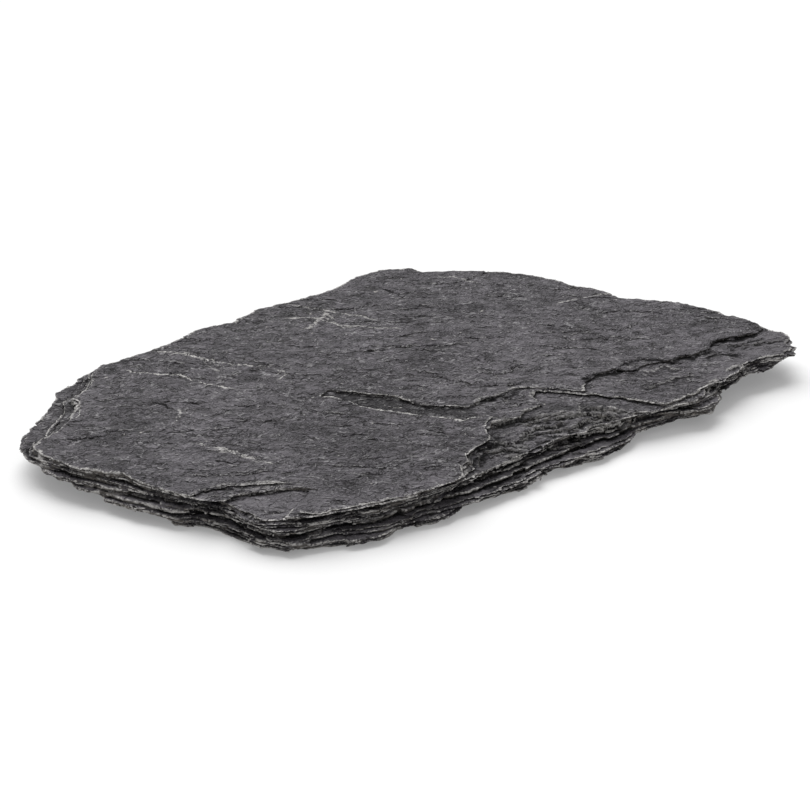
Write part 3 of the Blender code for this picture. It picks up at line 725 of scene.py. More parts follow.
def relief():
    """Maps over the plan: the height of the low relief; the way across the nearest drawn line, how pale its lip or
    vein is and how much painted shade falls on its low side; how near an open crack is, for the painted shade in it;
    and how much lighter or darker the stone is painted, in places as painted shade or sheen."""
    xs = np.arange(LOW[0], -LOW[0] + PITCH, PITCH)
    ys = np.arange(LOW[1], -LOW[1] + PITCH, PITCH)
    x, y = np.meshgrid(xs.astype(np.float32), ys.astype(np.float32), indexing="ij")
    wx = x + 1.3 * noise2(x / 11, y / 11, 11) + 0.8 * noise2(x / 4.2, y / 4.2, 12) + 0.5 * noise2(x / 1.8, y / 1.8, 13)
    wy = y + 1.3 * noise2(x / 11, y / 11, 21) + 0.8 * noise2(x / 4.2, y / 4.2, 22) + 0.5 * noise2(x / 1.8, y / 1.8, 23)
    z = 0.30 * noise2(x / 75, y / 75, 31) + 0.18 * noise2(x / 27, y / 27, 32)
    u, v = 0.743 * wx - 0.669 * wy, 0.669 * wx + 0.743 * wy
    # flat chips, each a little higher or lower than its neighbours and a little tilted
    for seed, size, rise, tilt, share in CHIPS:
        value, far_x, far_y = cells2(u / (1.9 * size), v / size, seed)
        lean, _, _ = cells2(u / (1.9 * size) + 0.001, v / size, seed + 500)
        chip = rise * (value - 0.5) + tilt * size * far_y * (lean - 0.35)
        z += chip * smooth(-0.25, 0.35, noise2(x / (2.6 * size + 6), y / (2.6 * size + 6), seed + 5) + share)
    # thin flakes that overlap like tiles and break off towards the front left
    tiles = []
    broken = np.maximum.reduce([smooth(-1.5, 2.0, depth_inside(wx, wy, shape)) for shape in BROKEN])
    for seed, run, rise, stray in ((41, 34, 0.70, 1.5), (42, 17, 0.55, 1.3), (43, 8.5, 0.32, 1.2)):
        q = v / run + stray * fbm2(u / (2.6 * run), v / (1.1 * run), seed, 2)
        q += 0.16 * fbm2(u / (0.40 * run), v / (0.22 * run), seed + 60, 2)
        part = q - np.floor(q)
        there = smooth(0.05, 0.40, noise2(x / (1.9 * run), y / (1.4 * run), seed + 5) + 0.02)
        there = there * (1 - broken)
        z += rise * there * (smooth(0, 0.6 / run, part) - part - 0.5)
        slope = np.hypot(*np.gradient(q, PITCH))
        tiles += [q, np.clip(1 / np.maximum(slope, 0.3 / run), 0, 3 * run), there]
    z += 0.20 * (1 - np.abs(noise2(u / 8.5, v / 4.2, 51))) ** 5 * smooth(-0.3, 0.5, noise2(x / 20, y / 20, 52))
    z -= 0.26 * (1 - np.abs(noise2(u / 7.0, v / 3.6, 54))) ** 6 * smooth(-0.2, 0.5, noise2(x / 17, y / 17, 55))
    z += 0.12 * noise2(u / 4.4, v / 2.6, 53)
    # drawn lines run round small chips
    jag = [(1.2, 6.0, 61), (0.6, 2.7, 62)]
    wx = wx + sum(far * (cells2(x / size, y / size, seed)[0] - 0.5) for far, size, seed in jag)
    wy = wy + sum(far * (cells2(x / size, y / size, seed + 10)[0] - 0.5) for far, size, seed in jag)
    across = np.full_like(z, 9.0)
    vein_and_lip_highlight, step_shade, crack_shade, tone_shade_and_sheen = (np.zeros_like(z) for _ in range(4))
    for height, far_high, far_low, bright, line in LINES:
        part = window(line, 2.5 * max(far_high, far_low) + 3)
        d, edge = along_line(wx[part], wy[part], line, 5.0)
        left = smooth(-0.35, 0.35, d)
        high = np.exp(-np.maximum(d, 0) / far_high)
        low = np.exp(-np.maximum(-d, 0) / far_low)
        z[part] += height * edge * (0.35 * left * high - 0.65 * (1 - left) * low)
        d = d if height > 0 else -d
        near = (np.abs(d) < np.abs(across[part])) & (np.abs(d) < 6)
        across[part] = np.where(near, d, across[part])
        vein_and_lip_highlight[part] = np.where(near, bright * edge, vein_and_lip_highlight[part])
        step_shade[part] = np.where(near, min(1.0, 1.3 * abs(height)) * edge, step_shade[part])
    for depth, width, line in CRACKS:
        part = window(line, 6)
        d, edge = along_line(wx[part], wy[part], line, 4.0)
        z[part] -= depth * edge * np.exp(-(d / width) ** 2)
        crack_shade[part] = np.maximum(crack_shade[part], edge * np.exp(-(d / (1.3 * width)) ** 2))
    for rise, soft, tone, shape in PATCHES:
        part = window(shape, 2 * soft + 4)
        d = depth_inside(wx[part], wy[part], shape)
        z[part] += rise * smooth(-soft, soft, d)
        tone_shade_and_sheen[part] += tone * smooth(-max(soft, 0.8), max(soft, 0.8), d)
    for shape in SMOOTH:
        broken = np.maximum(broken, smooth(-1.0, 1.0, depth_inside(wx, wy, shape)))
    return [m.astype(np.float32) for m in (z, across, vein_and_lip_highlight, step_shade, crack_shade, tone_shade_and_sheen, broken, *tiles)]


# ---------------------------------------------------------------- the mesh

def fill_mesh(name, verts, faces):
    mesh = bpy.data.meshes.new(name)
    mesh.vertices.add(len(verts))
    mesh.vertices.foreach_set("co", np.ascontiguousarray(verts, np.float32).ravel())
    mesh.loops.add(faces.size)
    mesh.loops.foreach_set("vertex_index", faces.astype(np.int32).ravel())
    mesh.polygons.add(len(faces))
    mesh.polygons.foreach_set("loop_start", np.arange(0, faces.size, faces.shape[1], dtype=np.int32))
    mesh.update(calc_edges=True)
    mesh.validate()
    return mesh


def put_attribute(mesh, name, values):
    attribute = mesh.attributes.new(name, "FLOAT", "POINT")
    attribute.data.foreach_set("value", np.ascontiguousarray(values, np.float32))


def grow_slab():
    xs = np.arange(-192.5, 192.6, STEP, dtype=np.float64)
    ys = np.arange(-124.6, 124.7, STEP, dtype=np.float64)
    reach = pile(xs, ys)
    field = break_up(reach, xs, ys)
    verts, faces = skin(field, xs, ys)
    verts, faces, _ = largest(verts, faces)
    solid = np.clip(field / 0.5, -0.5, 0.5) + 0.5
    near = sample3(box_blur(solid, (1, 1, 2)), verts)
    wide = sample3(box_blur(solid, (4, 4, 6)), verts)
    wear = smooth(0.02, 0.24, 0.5 - near)
    # how enclosed a place is, which sets the painted shade in hollows
    hollow_shade = smooth(0.02, 0.30, wide - 0.5)
    # how far in from its own rim a place on a tread lies, and how far out from the foot of the next step
    under = verts.copy()
    under[:, 2] = np.floor(verts[:, 2])
    over = under + np.array([0, 0, 1.0])
    in_low, in_high = sample3(reach, under), sample3(reach, over)
    rim = np.clip(np.maximum(in_low, in_high), 0, REACH)
    foot = np.clip(-np.minimum(in_low, in_high), 0, REACH)
    px, py = xs[0] + verts[:, 0] * STEP, ys[0] + verts[:, 1] * STEP
    for shape in CALM:
        calm = smooth(-1.5, 1.5, depth_inside(px, py, shape)) * (verts[:, 2] * SLICE > 14.5)
        wear, rim, foot = wear * (1 - calm), np.maximum(rim, REACH * calm), np.maximum(foot, REACH * calm)
    for shape in FRESH:
        calm = smooth(-1.5, 1.5, depth_inside(px, py, shape)) * (verts[:, 2] * SLICE > 14.0)
        wear, rim = wear * (1 - calm), np.maximum(rim, REACH * calm)
    normal = vertex_normals(verts * np.array([STEP, STEP, SLICE]), faces)
    x, y = xs[0] + verts[:, 0] * STEP, ys[0] + verts[:, 1] * STEP
    z = (verts[:, 2] - 0.5) * SLICE
    # the bedding rolls gently inside the slab
    share = np.clip(z / THICKNESS, 0, 1)
    roll = 0.75 * noise2(x / 62, y / 62, 701) + 0.42 * noise2(x / 26, y / 26, 702) + 0.22 * noise2(x / 11, y / 11, 703)
    z = z + roll * 4 * share * (1 - share) * 0.9
    height, across, vein_and_lip_highlight, step_shade, crack_shade, tone_shade_and_sheen, fresh, *tiles = (sample2(m, LOW, PITCH, x, y) for m in relief())
    up = smooth(0.25, 0.75, normal[:, 2])
    z = z + height * up * np.where(share > 0.85, 1.0, 0.8)
    down = smooth(0.25, 0.75, -normal[:, 2])
    under = 0.30 * np.abs(noise2(x / 21, y / 21, 711)) + 0.12 * np.abs(noise2(x / 11, y / 11, 712))
    z = z + down * under
    z = np.clip(z, 0.0, THICKNESS + 0.35)
    points = np.stack([x - CENTRE[0], y - CENTRE[1], z], 1) * 0.001
    mesh = fill_mesh("slate_slab_stone", points, faces)
    for name, values in (("wear", wear), ("hollow_shade", hollow_shade), ("rim", rim), ("foot", foot), ("across", across),
                         ("fresh", np.maximum(fresh, 1 - smooth(11.5, 12.8, z)) * up), ("vein_and_lip_highlight", vein_and_lip_highlight * up), ("step_shade", step_shade * up), ("crack_shade", crack_shade * up), ("tone_shade_and_sheen", tone_shade_and_sheen * up)):
        put_attribute(mesh, name, values)
    for letter, k in (("a", 0), ("b", 3), ("c", 6)):
        put_attribute(mesh, "tile_" + letter, tiles[k])
        put_attribute(mesh, "run_" + letter, tiles[k + 1])
        put_attribute(mesh, "there_" + letter, tiles[k + 2] * up)
    rough = bpy.data.objects.new("slate_slab_rough", mesh)
    bpy.context.scene.collection.objects.link(rough)
    thin = rough.modifiers.new("thin", "DECIMATE")
    thin.ratio = TRIANGLES / (2 * len(faces))
    thin.use_collapse_triangulate = True
    keep = rough.vertex_groups.new(name="keep")
    weight = np.clip(np.where(up > 0.5, 0.6 + 0.3 * (share > 0.85), 0.7 - 0.6 * down), 0.1, 0.9)
    for level in range(11):
        chosen = np.flatnonzero(np.round(weight * 10) == level)
        if level and len(chosen):
            keep.add(chosen.tolist(), level / 10, "REPLACE")
    thin.vertex_group = "keep"
    thin.invert_vertex_group = KEEP_INVERT
    thin.vertex_group_factor = KEEP_FACTOR
    graph = bpy.context.evaluated_depsgraph_get()
    final = bpy.data.meshes.new_from_object(rough.evaluated_get(graph))
    bpy.data.objects.remove(rough, do_unlink=True)
    bpy.data.meshes.remove(mesh)
    final.name = "slate_slab_stone"
    tidy(final)
    final.polygons.foreach_set("use_smooth", np.ones(len(final.polygons), bool))
    final.set_sharp_from_angle(angle=math.radians(50))
    lay_out(final)
    slab = bpy.data.objects.new("slate_slab_stone", final)
    bpy.context.scene.collection.objects.link(slab)
    return slab


def tidy(mesh):
    """Takes out the flat flaps that thinning leaves: pairs of faces with the same three corners."""
    shape = bmesh.new()
    shape.from_mesh(mesh)
    for _ in range(4):
        seen, flaps = {}, []
        for face in shape.faces:
            key = tuple(sorted(vert.index for vert in face.verts))
            if key in seen:
                flaps += [seen.pop(key), face]
            else:
                seen[key] = face
        if not flaps:
            break
        bmesh.ops.delete(shape, geom=flaps, context="FACES")
    shape.to_mesh(mesh)
    shape.free()
    mesh.validate()


# ---------------------------------------------------------------- a flat map of the surface

BAKED = "OFBake"
WIDE, DEEP = 374.0, 240.0       # a chart of the whole plan, in millimetres


def lay_out(mesh):
    """A map for painting the slab: the open top large, then the shelves, the overhangs and the underside
    smaller, and the broken sides as three strips."""
    count = len(mesh.vertices)
    at = np.empty(3 * count, np.float32)
    mesh.vertices.foreach_get("co", at)
    at = at.reshape(-1, 3) * 1000
    corner = np.empty(len(mesh.loops), np.int32)
    mesh.loops.foreach_get("vertex_index", corner)
    corner = corner.reshape(-1, 3)
    p = at[corner]
    face = np.cross(p[:, 1] - p[:, 0], p[:, 2] - p[:, 0])
    up = face[:, 2] / np.maximum(np.linalg.norm(face, axis=1), 1e-9)
    middle = p.mean(1)
    plan = np.stack([(p[..., 0] + WIDE / 2) / WIDE, (p[..., 1] + DEEP / 2) / DEEP], -1)
    cell = ((middle[:, :2] + [WIDE / 2, DEEP / 2]) / 1.5).astype(int).clip(0)

    def outermost(chosen, sign):
        """Whether nothing else of the chosen faces lies well outside each of them."""
        best = np.full((260, 170), -1e9)
        np.maximum.at(best, (cell[chosen, 0], cell[chosen, 1]), sign * middle[chosen, 2])
        return chosen & (sign * middle[:, 2] > best[cell[:, 0], cell[:, 1]] - 0.9)

    upward, downward = up > 0.30, up < -0.30
    top, bottom = outermost(upward, 1), outermost(downward, -1)
    place = np.zeros(p.shape[:2] + (2,))
    tall = 0.98 * DEEP / WIDE
    small = 0.315
    for chosen, left, low, wide in ((top, 0.01, 0.99 - tall, 0.98), (bottom, 0.010, 0.01, small),
                                    (upward & ~top, 0.340, 0.01, small), (downward & ~bottom, 0.670, 0.01, small)):
        place[chosen] = np.array([left, low]) + plan[chosen] * np.array([wide, wide * DEEP / WIDE])
    # the way round the rim, as on an ellipse of the slab's proportions
    turn = np.arctan2(p[..., 1] / DEEP, p[..., 0] / WIDE)
    centre = np.arctan2(middle[:, 1] / DEEP, middle[:, 0] / WIDE)
    turn = centre[:, None] + (turn - centre[:, None] + np.pi) % (2 * np.pi) - np.pi
    table = np.linspace(-1.5 * np.pi, 1.5 * np.pi, 3001)
    speed = np.hypot(WIDE / 2 * np.sin(table), DEEP / 2 * np.cos(table))
    run = np.cumsum(speed) * (table[1] - table[0])
    start, whole = np.interp(-np.pi, table, run), np.interp(np.pi, table, run) - np.interp(-np.pi, table, run)
    run = (run - start) / whole * 3
    strip = np.floor(np.interp(centre, table, run)).clip(0, 2)
    rim = ~upward & ~downward
    along = np.interp(turn, table, run) - strip[:, None]
    low = 0.01 + small * DEEP / WIDE + 0.012
    each = (0.99 - tall - 0.012 - low) / 3
    side = np.stack([0.012 + 0.976 * along, low + each * (strip[:, None] + 0.05 + 0.90 * p[..., 2] / 16.6)], -1)
    place[rim] = side[rim]
    layer = mesh.uv_layers.new(name=BAKED)
    layer.data.foreach_set("uv", np.ascontiguousarray(place.clip(0.001, 0.999), np.float32).ravel())


# ---------------------------------------------------------------- the stone

class Nodes:
    """Short names for the nodes of one material."""

    def __init__(self, name):
        self.material = bpy.data.materials.new(name)
        self.material.use_nodes = True
        self.tree = self.material.node_tree
        self.shader = self.tree.nodes["Principled BSDF"]

    def put(self, kind, settings=(), **inputs):
        node = self.tree.nodes.new(kind)
        for key, value in dict(settings).items():
            setattr(node, key, value)
        for key, value in inputs.items():
            self.feed(node.inputs[int(key[1:])] if key[0] == "i" and key[1:].isdigit() else node.inputs[key.replace("_", " ")], value)
        return node

    def feed(self, socket, value):
        if isinstance(value, bpy.types.NodeSocket):
            self.tree.links.new(value, socket)
        else:
            socket.default_value = value

    def math(self, operation, a, b=0.0, c=0.0, clamp=False):
        return self.put("ShaderNodeMath", {"operation": operation, "use_clamp": clamp}, i0=a, i1=b, i2=c).outputs[0]

    def ramp(self, value, low, high, to_low=0.0, to_high=1.0, kind="SMOOTHSTEP"):
        return self.put("ShaderNodeMapRange", {"interpolation_type": kind, "clamp": True},
                        i0=value, i1=low, i2=high, i3=to_low, i4=to_high).outputs[0]

    def noise(self, where, size, detail=2.0, rough=0.5, distortion=0.0, kind="FBM"):
        """Noise with features about size metres across."""
        return self.put("ShaderNodeTexNoise", {"noise_type": kind, "normalize": True}, Vector=where,
                        Scale=1.0 / size, Detail=detail, Roughness=rough, Distortion=distortion).outputs["Fac"]

    def chips(self, where, size):
        """A random value from 0 to 1 for each of many small cells."""
        node = self.put("ShaderNodeTexVoronoi", {"feature": "F1", "distance": "EUCLIDEAN"}, Vector=where, Scale=1.0 / size)
        return self.put("ShaderNodeSeparateColor", Color=node.outputs["Color"]).outputs[0]

    def mix(self, share, a, b, kind="MIX"):
        node = self.tree.nodes.new("ShaderNodeMix")
        node.data_type = "RGBA"
        node.blend_type = kind
        self.feed(node.inputs["Factor"], share)
        self.feed(node.inputs[6], a)
        self.feed(node.inputs[7], b)
        return node.outputs[2]

    def attribute(self, name):
        return self.put("ShaderNodeAttribute", {"attribute_name": name, "attribute_type": "GEOMETRY"}).outputs["Fac"]


def slate():
    n = Nodes("slate_stone")
    where = n.put("ShaderNodeTexCoord").outputs["Object"]
    normal = n.put("ShaderNodeNewGeometry").outputs["Normal"]
    slope = n.math("ABSOLUTE", n.put("ShaderNodeSeparateXYZ", Vector=normal).outputs["Z"])
    side = n.ramp(slope, 0.45, 0.85, 1.0, 0.0)
    wear, hollow_shade, rim, foot = (n.attribute(a) for a in ("wear", "hollow_shade", "rim", "foot"))
    across, vein_and_lip_highlight, step_shade, crack_shade, tone_shade_and_sheen = (n.attribute(a) for a in ("across", "vein_and_lip_highlight", "step_shade", "crack_shade", "tone_shade_and_sheen"))

    fresh = n.attribute("fresh")
    aged = n.math("MULTIPLY_ADD", fresh, -0.55, 1.0)

    # bend the coordinates a little, so that nothing runs straight
    warp = n.put("ShaderNodeTexNoise", {"noise_type": "FBM"}, Vector=where, Scale=300.0, Detail=1.0, Roughness=0.5).outputs["Color"]
    shift = n.put("ShaderNodeVectorMath", {"operation": "SUBTRACT"}, i0=warp, i1=(0.5, 0.5, 0.5)).outputs[0]
    shift = n.put("ShaderNodeVectorMath", {"operation": "SCALE"}, i0=shift, Scale=0.0060).outputs[0]
    bent = n.put("ShaderNodeVectorMath", {"operation": "ADD"}, i0=where, i1=shift).outputs[0]
    grained = n.put("ShaderNodeVectorRotate", {"rotation_type": "Z_AXIS"}, Vector=bent, Angle=math.radians(42)).outputs[0]
    grained = n.put("ShaderNodeVectorMath", {"operation": "MULTIPLY"}, i0=grained, i1=(0.55, 1.0, 2.5)).outputs[0]
    layers = n.put("ShaderNodeVectorMath", {"operation": "MULTIPLY"}, i0=where, i1=(0.05, 0.05, 1.0)).outputs[0]

    def centred(value, gain):
        return n.math("MULTIPLY", n.math("SUBTRACT", value, 0.5), gain)

    def total(*terms):
        out = terms[0]
        for term in terms[1:]:
            out = n.math("ADD", out, term)
        return out

    def thread(size, low, high, patch, share, offset):
        """Thin winding lines, in patches."""
        place = n.put("ShaderNodeVectorMath", {"operation": "ADD"}, i0=grained, i1=(offset, 0.3 * offset, 0.0)).outputs[0]
        off = n.math("ABSOLUTE", n.math("SUBTRACT", n.noise(place, size, 0.0), 0.5))
        return n.math("MULTIPLY", n.ramp(off, low, high, 1.0, 0.0), n.ramp(n.noise(place, patch, 1.0), share, share + 0.05)), off

    # --- fine relief, in millimetres
    small, medium, large = n.chips(grained, 0.0013), n.chips(grained, 0.0030), n.chips(grained, 0.0068)
    lumps = n.ramp(n.noise(grained, 0.0034, 1.0, 0.5), 0.30, 0.70)
    grit = n.ramp(n.noise(grained, 0.0015, 1.0, 0.5), 0.30, 0.70)
    sand = n.noise(where, 0.0009, 2.0, 0.6)
    shade_groove_a, off_a = thread(0.0110, 0.006, 0.026, 0.0100, 0.48, 0.11)
    shade_groove_b, off_b = thread(0.0060, 0.010, 0.042, 0.0080, 0.49, 0.37)
    highlight_crest_a, off_c = thread(0.0095, 0.006, 0.026, 0.0100, 0.52, 0.23)
    highlight_crest_b, off_d = thread(0.0055, 0.010, 0.042, 0.0075, 0.52, 0.71)
    cut = n.math("MULTIPLY", n.math("MAXIMUM", shade_groove_a, shade_groove_b), aged)
    highlight_crest = n.math("MULTIPLY", n.math("MAXIMUM", highlight_crest_a, highlight_crest_b), aged)
    # the edges of the overlapping flakes: the way out from the edge in millimetres, and where they show
    edges = []
    for letter in "abc":
        q = n.math("ADD", n.attribute("tile_" + letter), centred(n.noise(where, 0.0030, 3.0, 0.6), 0.25 if letter == "a" else 0.4))
        off = n.math("MULTIPLY", n.math("SUBTRACT", q, n.math("ROUND", q)), n.attribute("run_" + letter))
        edges.append((off, n.attribute("there_" + letter)))
    ribs = n.ramp(n.noise(layers, 0.00055, 2.0, 0.6), 0.36, 0.64)
    loose = total(centred(lumps, 0.60), centred(grit, 0.22), centred(small, 0.14), centred(medium, 0.22), centred(large, 0.24),
                  centred(sand, 0.40))
    height = total(n.math("MULTIPLY", loose, n.math("MULTIPLY", n.math("MULTIPLY_ADD", side, -0.45, 1.0), aged)),
                   n.ramp(off_a, 0.0, 0.09, -0.30, 0.0), n.ramp(off_b, 0.0, 0.10, -0.18, 0.0),
                   n.ramp(off_c, 0.0, 0.08, 0.26, 0.0), n.ramp(off_d, 0.0, 0.10, 0.16, 0.0),
                   *(n.math("MULTIPLY", n.ramp(off, -0.5, 0.2), n.math("MULTIPLY", shown, 0.30)) for off, shown in edges),
                   n.math("MULTIPLY", cut, -0.25), n.math("MULTIPLY", highlight_crest, 0.15),
                   n.math("MULTIPLY", n.math("MULTIPLY", ribs, 0.25), side))
    bump = n.put("ShaderNodeBump", Strength=1.0, Distance=0.00125, Height=height).outputs[0]
    n.feed(n.shader.inputs["Normal"], bump)

    # --- colour
    cloud = n.noise(where, 0.050, 2.0, 0.5)
    blotch = n.noise(bent, 0.0085, 3.0, 0.6)
    tone = total(centred(blotch, 1.2), centred(lumps, 0.25), centred(grit, 0.30), centred(small, 0.22),
                 centred(medium, 0.16), centred(large, 0.12))
    tone = total(centred(cloud, 0.9), n.math("MULTIPLY", tone, aged), n.math("MULTIPLY", tone_shade_and_sheen, 0.5))
    tone = n.math("ADD", tone, 0.42, clamp=True)
    colour = n.mix(tone, (0.0150, 0.0137, 0.0157, 1), (0.1720, 0.1610, 0.1770, 1))
    # the steep sides: strata bands whose near-black bands are painted shade in the partings between the sheets
    side_bands_and_shade = n.mix(ribs, (0.008, 0.007, 0.006, 1), (0.240, 0.220, 0.200, 1))
    colour = n.mix(n.math("MULTIPLY", side, 0.80), colour, side_bands_and_shade)
    # thin grooves painted near black as painted shade, thin crests painted pale as painted highlight; both are also in
    # the bump
    colour = n.mix(n.math("MULTIPLY", cut, 0.70), colour, (0.008, 0.007, 0.007, 1))
    colour = n.mix(n.math("MULTIPLY", highlight_crest, 0.50), colour, (0.34, 0.33, 0.34, 1))
    # at each flake edge: a painted shadow below it and a painted highlight on its lip
    for (off, shown), deep, bright in zip(edges, (0.80, 0.72, 0.62), (0.60, 0.55, 0.45)):
        under = n.math("MULTIPLY", n.ramp(off, -1.5, -0.8), n.ramp(off, -0.2, 0.1, 1.0, 0.0))
        under = n.math("MULTIPLY", n.math("MULTIPLY", under, shown), n.ramp(n.noise(where, 0.0080, 2.0), 0.42, 0.52))
        colour = n.mix(n.math("MULTIPLY", under, deep), colour, (0.007, 0.006, 0.006, 1))
        over = n.math("MULTIPLY", n.ramp(off, 0.0, 0.15), n.ramp(off, 0.4, 0.8, 1.0, 0.0))
        over = n.math("MULTIPLY", n.math("MULTIPLY", over, shown), n.ramp(n.noise(where, 0.0045, 2.0), 0.50, 0.58))
        colour = n.mix(n.math("MULTIPLY", over, bright), colour, (0.36, 0.35, 0.35, 1))
    dot = n.put("ShaderNodeTexVoronoi", {"feature": "F1"}, Vector=bent, Scale=170.0)
    chance = n.put("ShaderNodeSeparateColor", Color=dot.outputs["Color"]).outputs[0]
    fleck = n.math("MULTIPLY", n.ramp(dot.outputs["Distance"], 0.06, 0.14, 1.0, 0.0), n.ramp(chance, 0.84, 0.86))
    colour = n.mix(n.math("MULTIPLY", fleck, 0.75), colour, (0.45, 0.43, 0.41, 1))
    # drawn lines: painted shade on the low side, a pale lip on the high side
    ragged = n.math("ADD", across, total(centred(n.noise(where, 0.0022, 3.0, 0.6), 2.2), centred(sand, 0.9)))
    below = n.math("DIVIDE", ragged, n.math("MULTIPLY_ADD", step_shade, 0.7, 0.7))
    low = n.math("MULTIPLY", n.math("MULTIPLY", n.ramp(below, -2.8, -1.4), n.ramp(below, -0.3, 0.1, 1.0, 0.0)), step_shade)
    low = n.math("MULTIPLY", low, n.ramp(n.noise(where, 0.0060, 2.0), 0.34, 0.46, 0.45, 1.0))
    colour = n.mix(n.math("MULTIPLY", low, 0.92), colour, (0.006, 0.006, 0.006, 1))
    # open cracks painted near black: painted shade in the crack
    colour = n.mix(n.math("MULTIPLY", n.ramp(crack_shade, 0.45, 0.8), 0.85), colour, (0.005, 0.005, 0.005, 1))
    # painted shade in hollows, on treads under overhangs and, more strongly, on the steep sides
    colour = n.mix(n.math("MULTIPLY", hollow_shade, n.math("MULTIPLY_ADD", side, 0.36, 0.52)), colour, (0.006, 0.006, 0.006, 1))
    # a painted shadow along the foot of each step
    foot_shadow = n.ramp(n.math("ADD", foot, centred(sand, 4.0)), 0.7, 2.0, 1.0, 0.0)
    foot_shadow = n.math("MULTIPLY", foot_shadow, n.ramp(rim, 0.9, 1.8))
    colour = n.mix(n.math("MULTIPLY", foot_shadow, 0.78), colour, (0.006, 0.006, 0.006, 1))
    # pale lips and a pale border behind the rims, partly wear and partly painted highlight, and pale veins of the
    # stone
    flake = n.noise(bent, 0.0016, 2.0, 0.6)
    spread = n.noise(where, 0.011, 2.0)
    lip_wear_and_highlight = n.ramp(n.math("ADD", rim, centred(sand, 3.0)), 0.25, 0.95, 1.0, 0.0)
    lip_wear_and_highlight = n.math("MULTIPLY", lip_wear_and_highlight, n.ramp(total(flake, n.math("MULTIPLY", spread, 0.7), n.math("MULTIPLY", side, 0.04),
                                               n.ramp(n.put("ShaderNodeSeparateXYZ", Vector=where).outputs["Z"], 0.0138, 0.0152, 0.0, 0.05)), 0.74, 0.86))
    lip_wear_and_highlight = n.math("MULTIPLY", lip_wear_and_highlight, n.ramp(tone_shade_and_sheen, -0.55, -0.25))
    lip_wear_and_highlight = n.math("MULTIPLY", lip_wear_and_highlight, n.ramp(wear, 0.10, 0.50))
    crumb = n.noise(bent, 0.0024, 3.0, 0.65)
    border = n.ramp(total(rim, centred(crumb, 7.0), centred(sand, 3.0)), 0.3, 1.1, 1.0, 0.0)
    border = n.math("MULTIPLY", n.math("MULTIPLY", border, n.ramp(side, 0.3, 0.8, 1.0, 0.0)), n.ramp(spread, 0.43, 0.53))
    bare = n.ramp(tone_shade_and_sheen, -0.55, -0.25)
    border = n.math("MULTIPLY", border, bare)
    border = n.math("MULTIPLY", border, n.ramp(n.put("ShaderNodeSeparateXYZ", Vector=where).outputs["Z"], 0.0135, 0.0152, 0.3, 1.0))
    # the pale line along a drawn line: the stone's colour on veins, wear and painted highlight on step lips
    line = n.ramp(n.math("ABSOLUTE", n.math("SUBTRACT", ragged, 0.35)), 0.35, 1.05, 1.0, 0.0)
    line = n.math("MULTIPLY", line, n.math("MULTIPLY", vein_and_lip_highlight, 1.3, clamp=True))
    line = n.math("MULTIPLY", line, n.ramp(total(flake, n.math("MULTIPLY", blotch, 0.8), n.math("MULTIPLY", spread, 0.6)), 1.12, 1.24))
    pale_wear_and_highlight = n.math("MAXIMUM", n.math("MAXIMUM", n.math("MULTIPLY", lip_wear_and_highlight, 0.95), line), n.math("MULTIPLY", border, 0.80))
    colour = n.mix(pale_wear_and_highlight, colour, (0.52, 0.505, 0.49, 1))
    n.feed(n.shader.inputs["Base Color"], colour)

    # --- roughness
    shaded = n.math("MAXIMUM", n.math("MAXIMUM", low, foot_shadow), n.math("MAXIMUM", n.ramp(crack_shade, 0.45, 0.8), hollow_shade))
    shaded = n.math("MULTIPLY", shaded, n.math("SUBTRACT", 1.0, pale_wear_and_highlight))
    rough = n.ramp(n.math("ADD", lumps, n.math("MULTIPLY", pale_wear_and_highlight, 0.5)), 0.0, 1.2, 0.46, 0.72, "LINEAR")
    rough = n.math("ADD", rough, n.math("MULTIPLY", shaded, n.math("SUBTRACT", 1.0, rough)), clamp=True)
    n.feed(n.shader.inputs["Roughness"], rough)
    n.shader.inputs["Metallic"].default_value = 0.0
    n.shader.inputs["Specular IOR Level"].default_value = 0.12
    return n.material


# ---------------------------------------------------------------- studio

def plain(name, colour, rough, glow):
    material = bpy.data.materials.new(name)
    material.use_nodes = True
    shader = material.node_tree.nodes["Principled BSDF"]
    shader.inputs["Base Color"].default_value = colour
    shader.inputs["Roughness"].default_value = rough
    shader.inputs["Specular IOR Level"].default_value = 0.0
    shader.inputs["Emission Color"].default_value = (1, 1, 1, 1)
    shader.inputs["Emission Strength"].default_value = glow
    return material


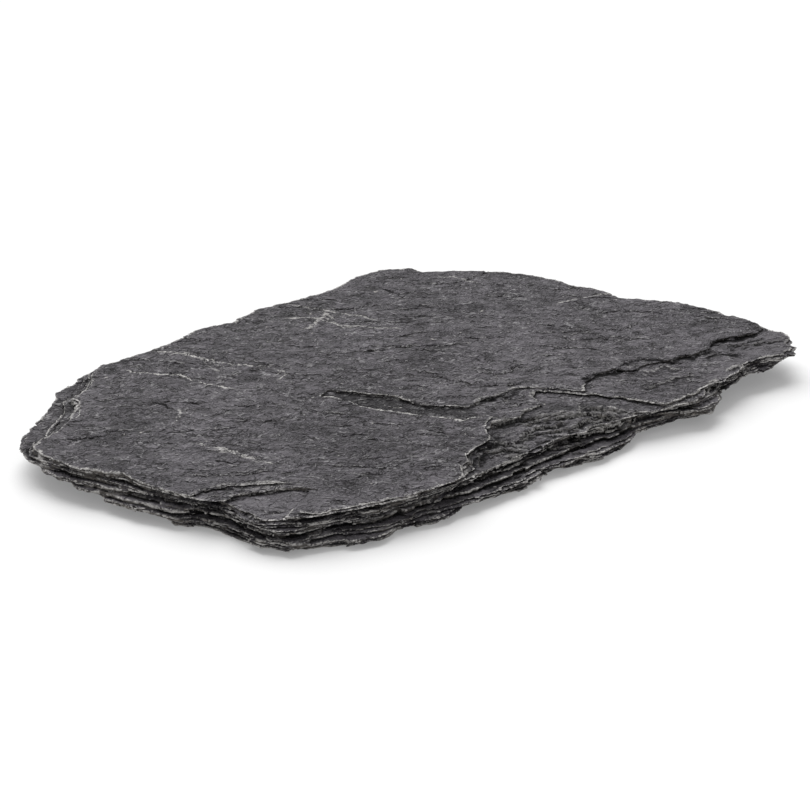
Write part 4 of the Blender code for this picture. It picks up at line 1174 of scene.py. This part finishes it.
def studio():
    scene = bpy.context.scene
    scene.view_settings.view_transform = "Standard"
    scene.view_settings.look = "None"
    half = 9.0
    mesh = bpy.data.meshes.new("studio_floor")
    mesh.from_pydata([(-half, -half, 0), (half, -half, 0), (half, half, 0), (-half, half, 0)], [], [(0, 1, 2, 3)])
    mesh.materials.append(plain("floor_white", (0.66, 0.66, 0.66, 1), 0.9, 0.20))
    floor = bpy.data.objects.new("studio_floor", mesh)
    floor.location = (0, 0, -0.00005)
    scene.collection.objects.link(floor)

    world = bpy.data.worlds.new("studio")
    world.use_nodes = True
    tree = world.node_tree
    tree.nodes.clear()
    fill = tree.nodes.new("ShaderNodeBackground")
    fill.inputs["Color"].default_value = (1, 1, 1, 1)
    fill.inputs["Strength"].default_value = 0.42
    seen = tree.nodes.new("ShaderNodeBackground")
    seen.inputs["Color"].default_value = (0.99, 0.985, 0.99, 1)
    seen.inputs["Strength"].default_value = 1.0
    path = tree.nodes.new("ShaderNodeLightPath")
    mix = tree.nodes.new("ShaderNodeMixShader")
    out = tree.nodes.new("ShaderNodeOutputWorld")
    tree.links.new(path.outputs["Is Camera Ray"], mix.inputs[0])
    tree.links.new(fill.outputs[0], mix.inputs[1])
    tree.links.new(seen.outputs[0], mix.inputs[2])
    tree.links.new(mix.outputs[0], out.inputs["Surface"])
    scene.world = world

    def sun(name, azimuth, elevation, strength, angle):
        """azimuth turns from the camera's far side, clockwise seen from above."""
        light = bpy.data.lights.new(name, "SUN")
        light.energy = strength
        light.angle = math.radians(angle)
        lamp = bpy.data.objects.new(name, light)
        a, e = math.radians(42 + azimuth), math.radians(elevation)
        towards = Vector((math.sin(a) * math.cos(e), math.cos(a) * math.cos(e), math.sin(e)))
        lamp.rotation_euler = towards.to_track_quat("Z", "Y").to_euler()
        scene.collection.objects.link(lamp)

    sun("key", -17, 50, 3.6, 60)


def camera():
    scene = bpy.context.scene
    data = bpy.data.cameras.new("camera")
    data.sensor_fit = "HORIZONTAL"
    data.sensor_width = 36.0
    data.lens = 36.0 / (2 * math.tan(math.radians(22.895) / 2))
    data.clip_start, data.clip_end = 0.01, 60.0
    eye = bpy.data.objects.new("camera", data)
    eye.location = (-0.60649, -0.67447, 0.42262)
    look = Vector((-0.00009, -0.00097, 0.0)) - eye.location
    eye.rotation_euler = look.to_track_quat("-Z", "Y").to_euler()
    scene.collection.objects.link(eye)
    scene.camera = eye


slab = grow_slab()
slab.data.materials.clear()
slab.data.materials.append(slate())
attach(slab, "root")
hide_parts("slate_slab")
studio()
camera()
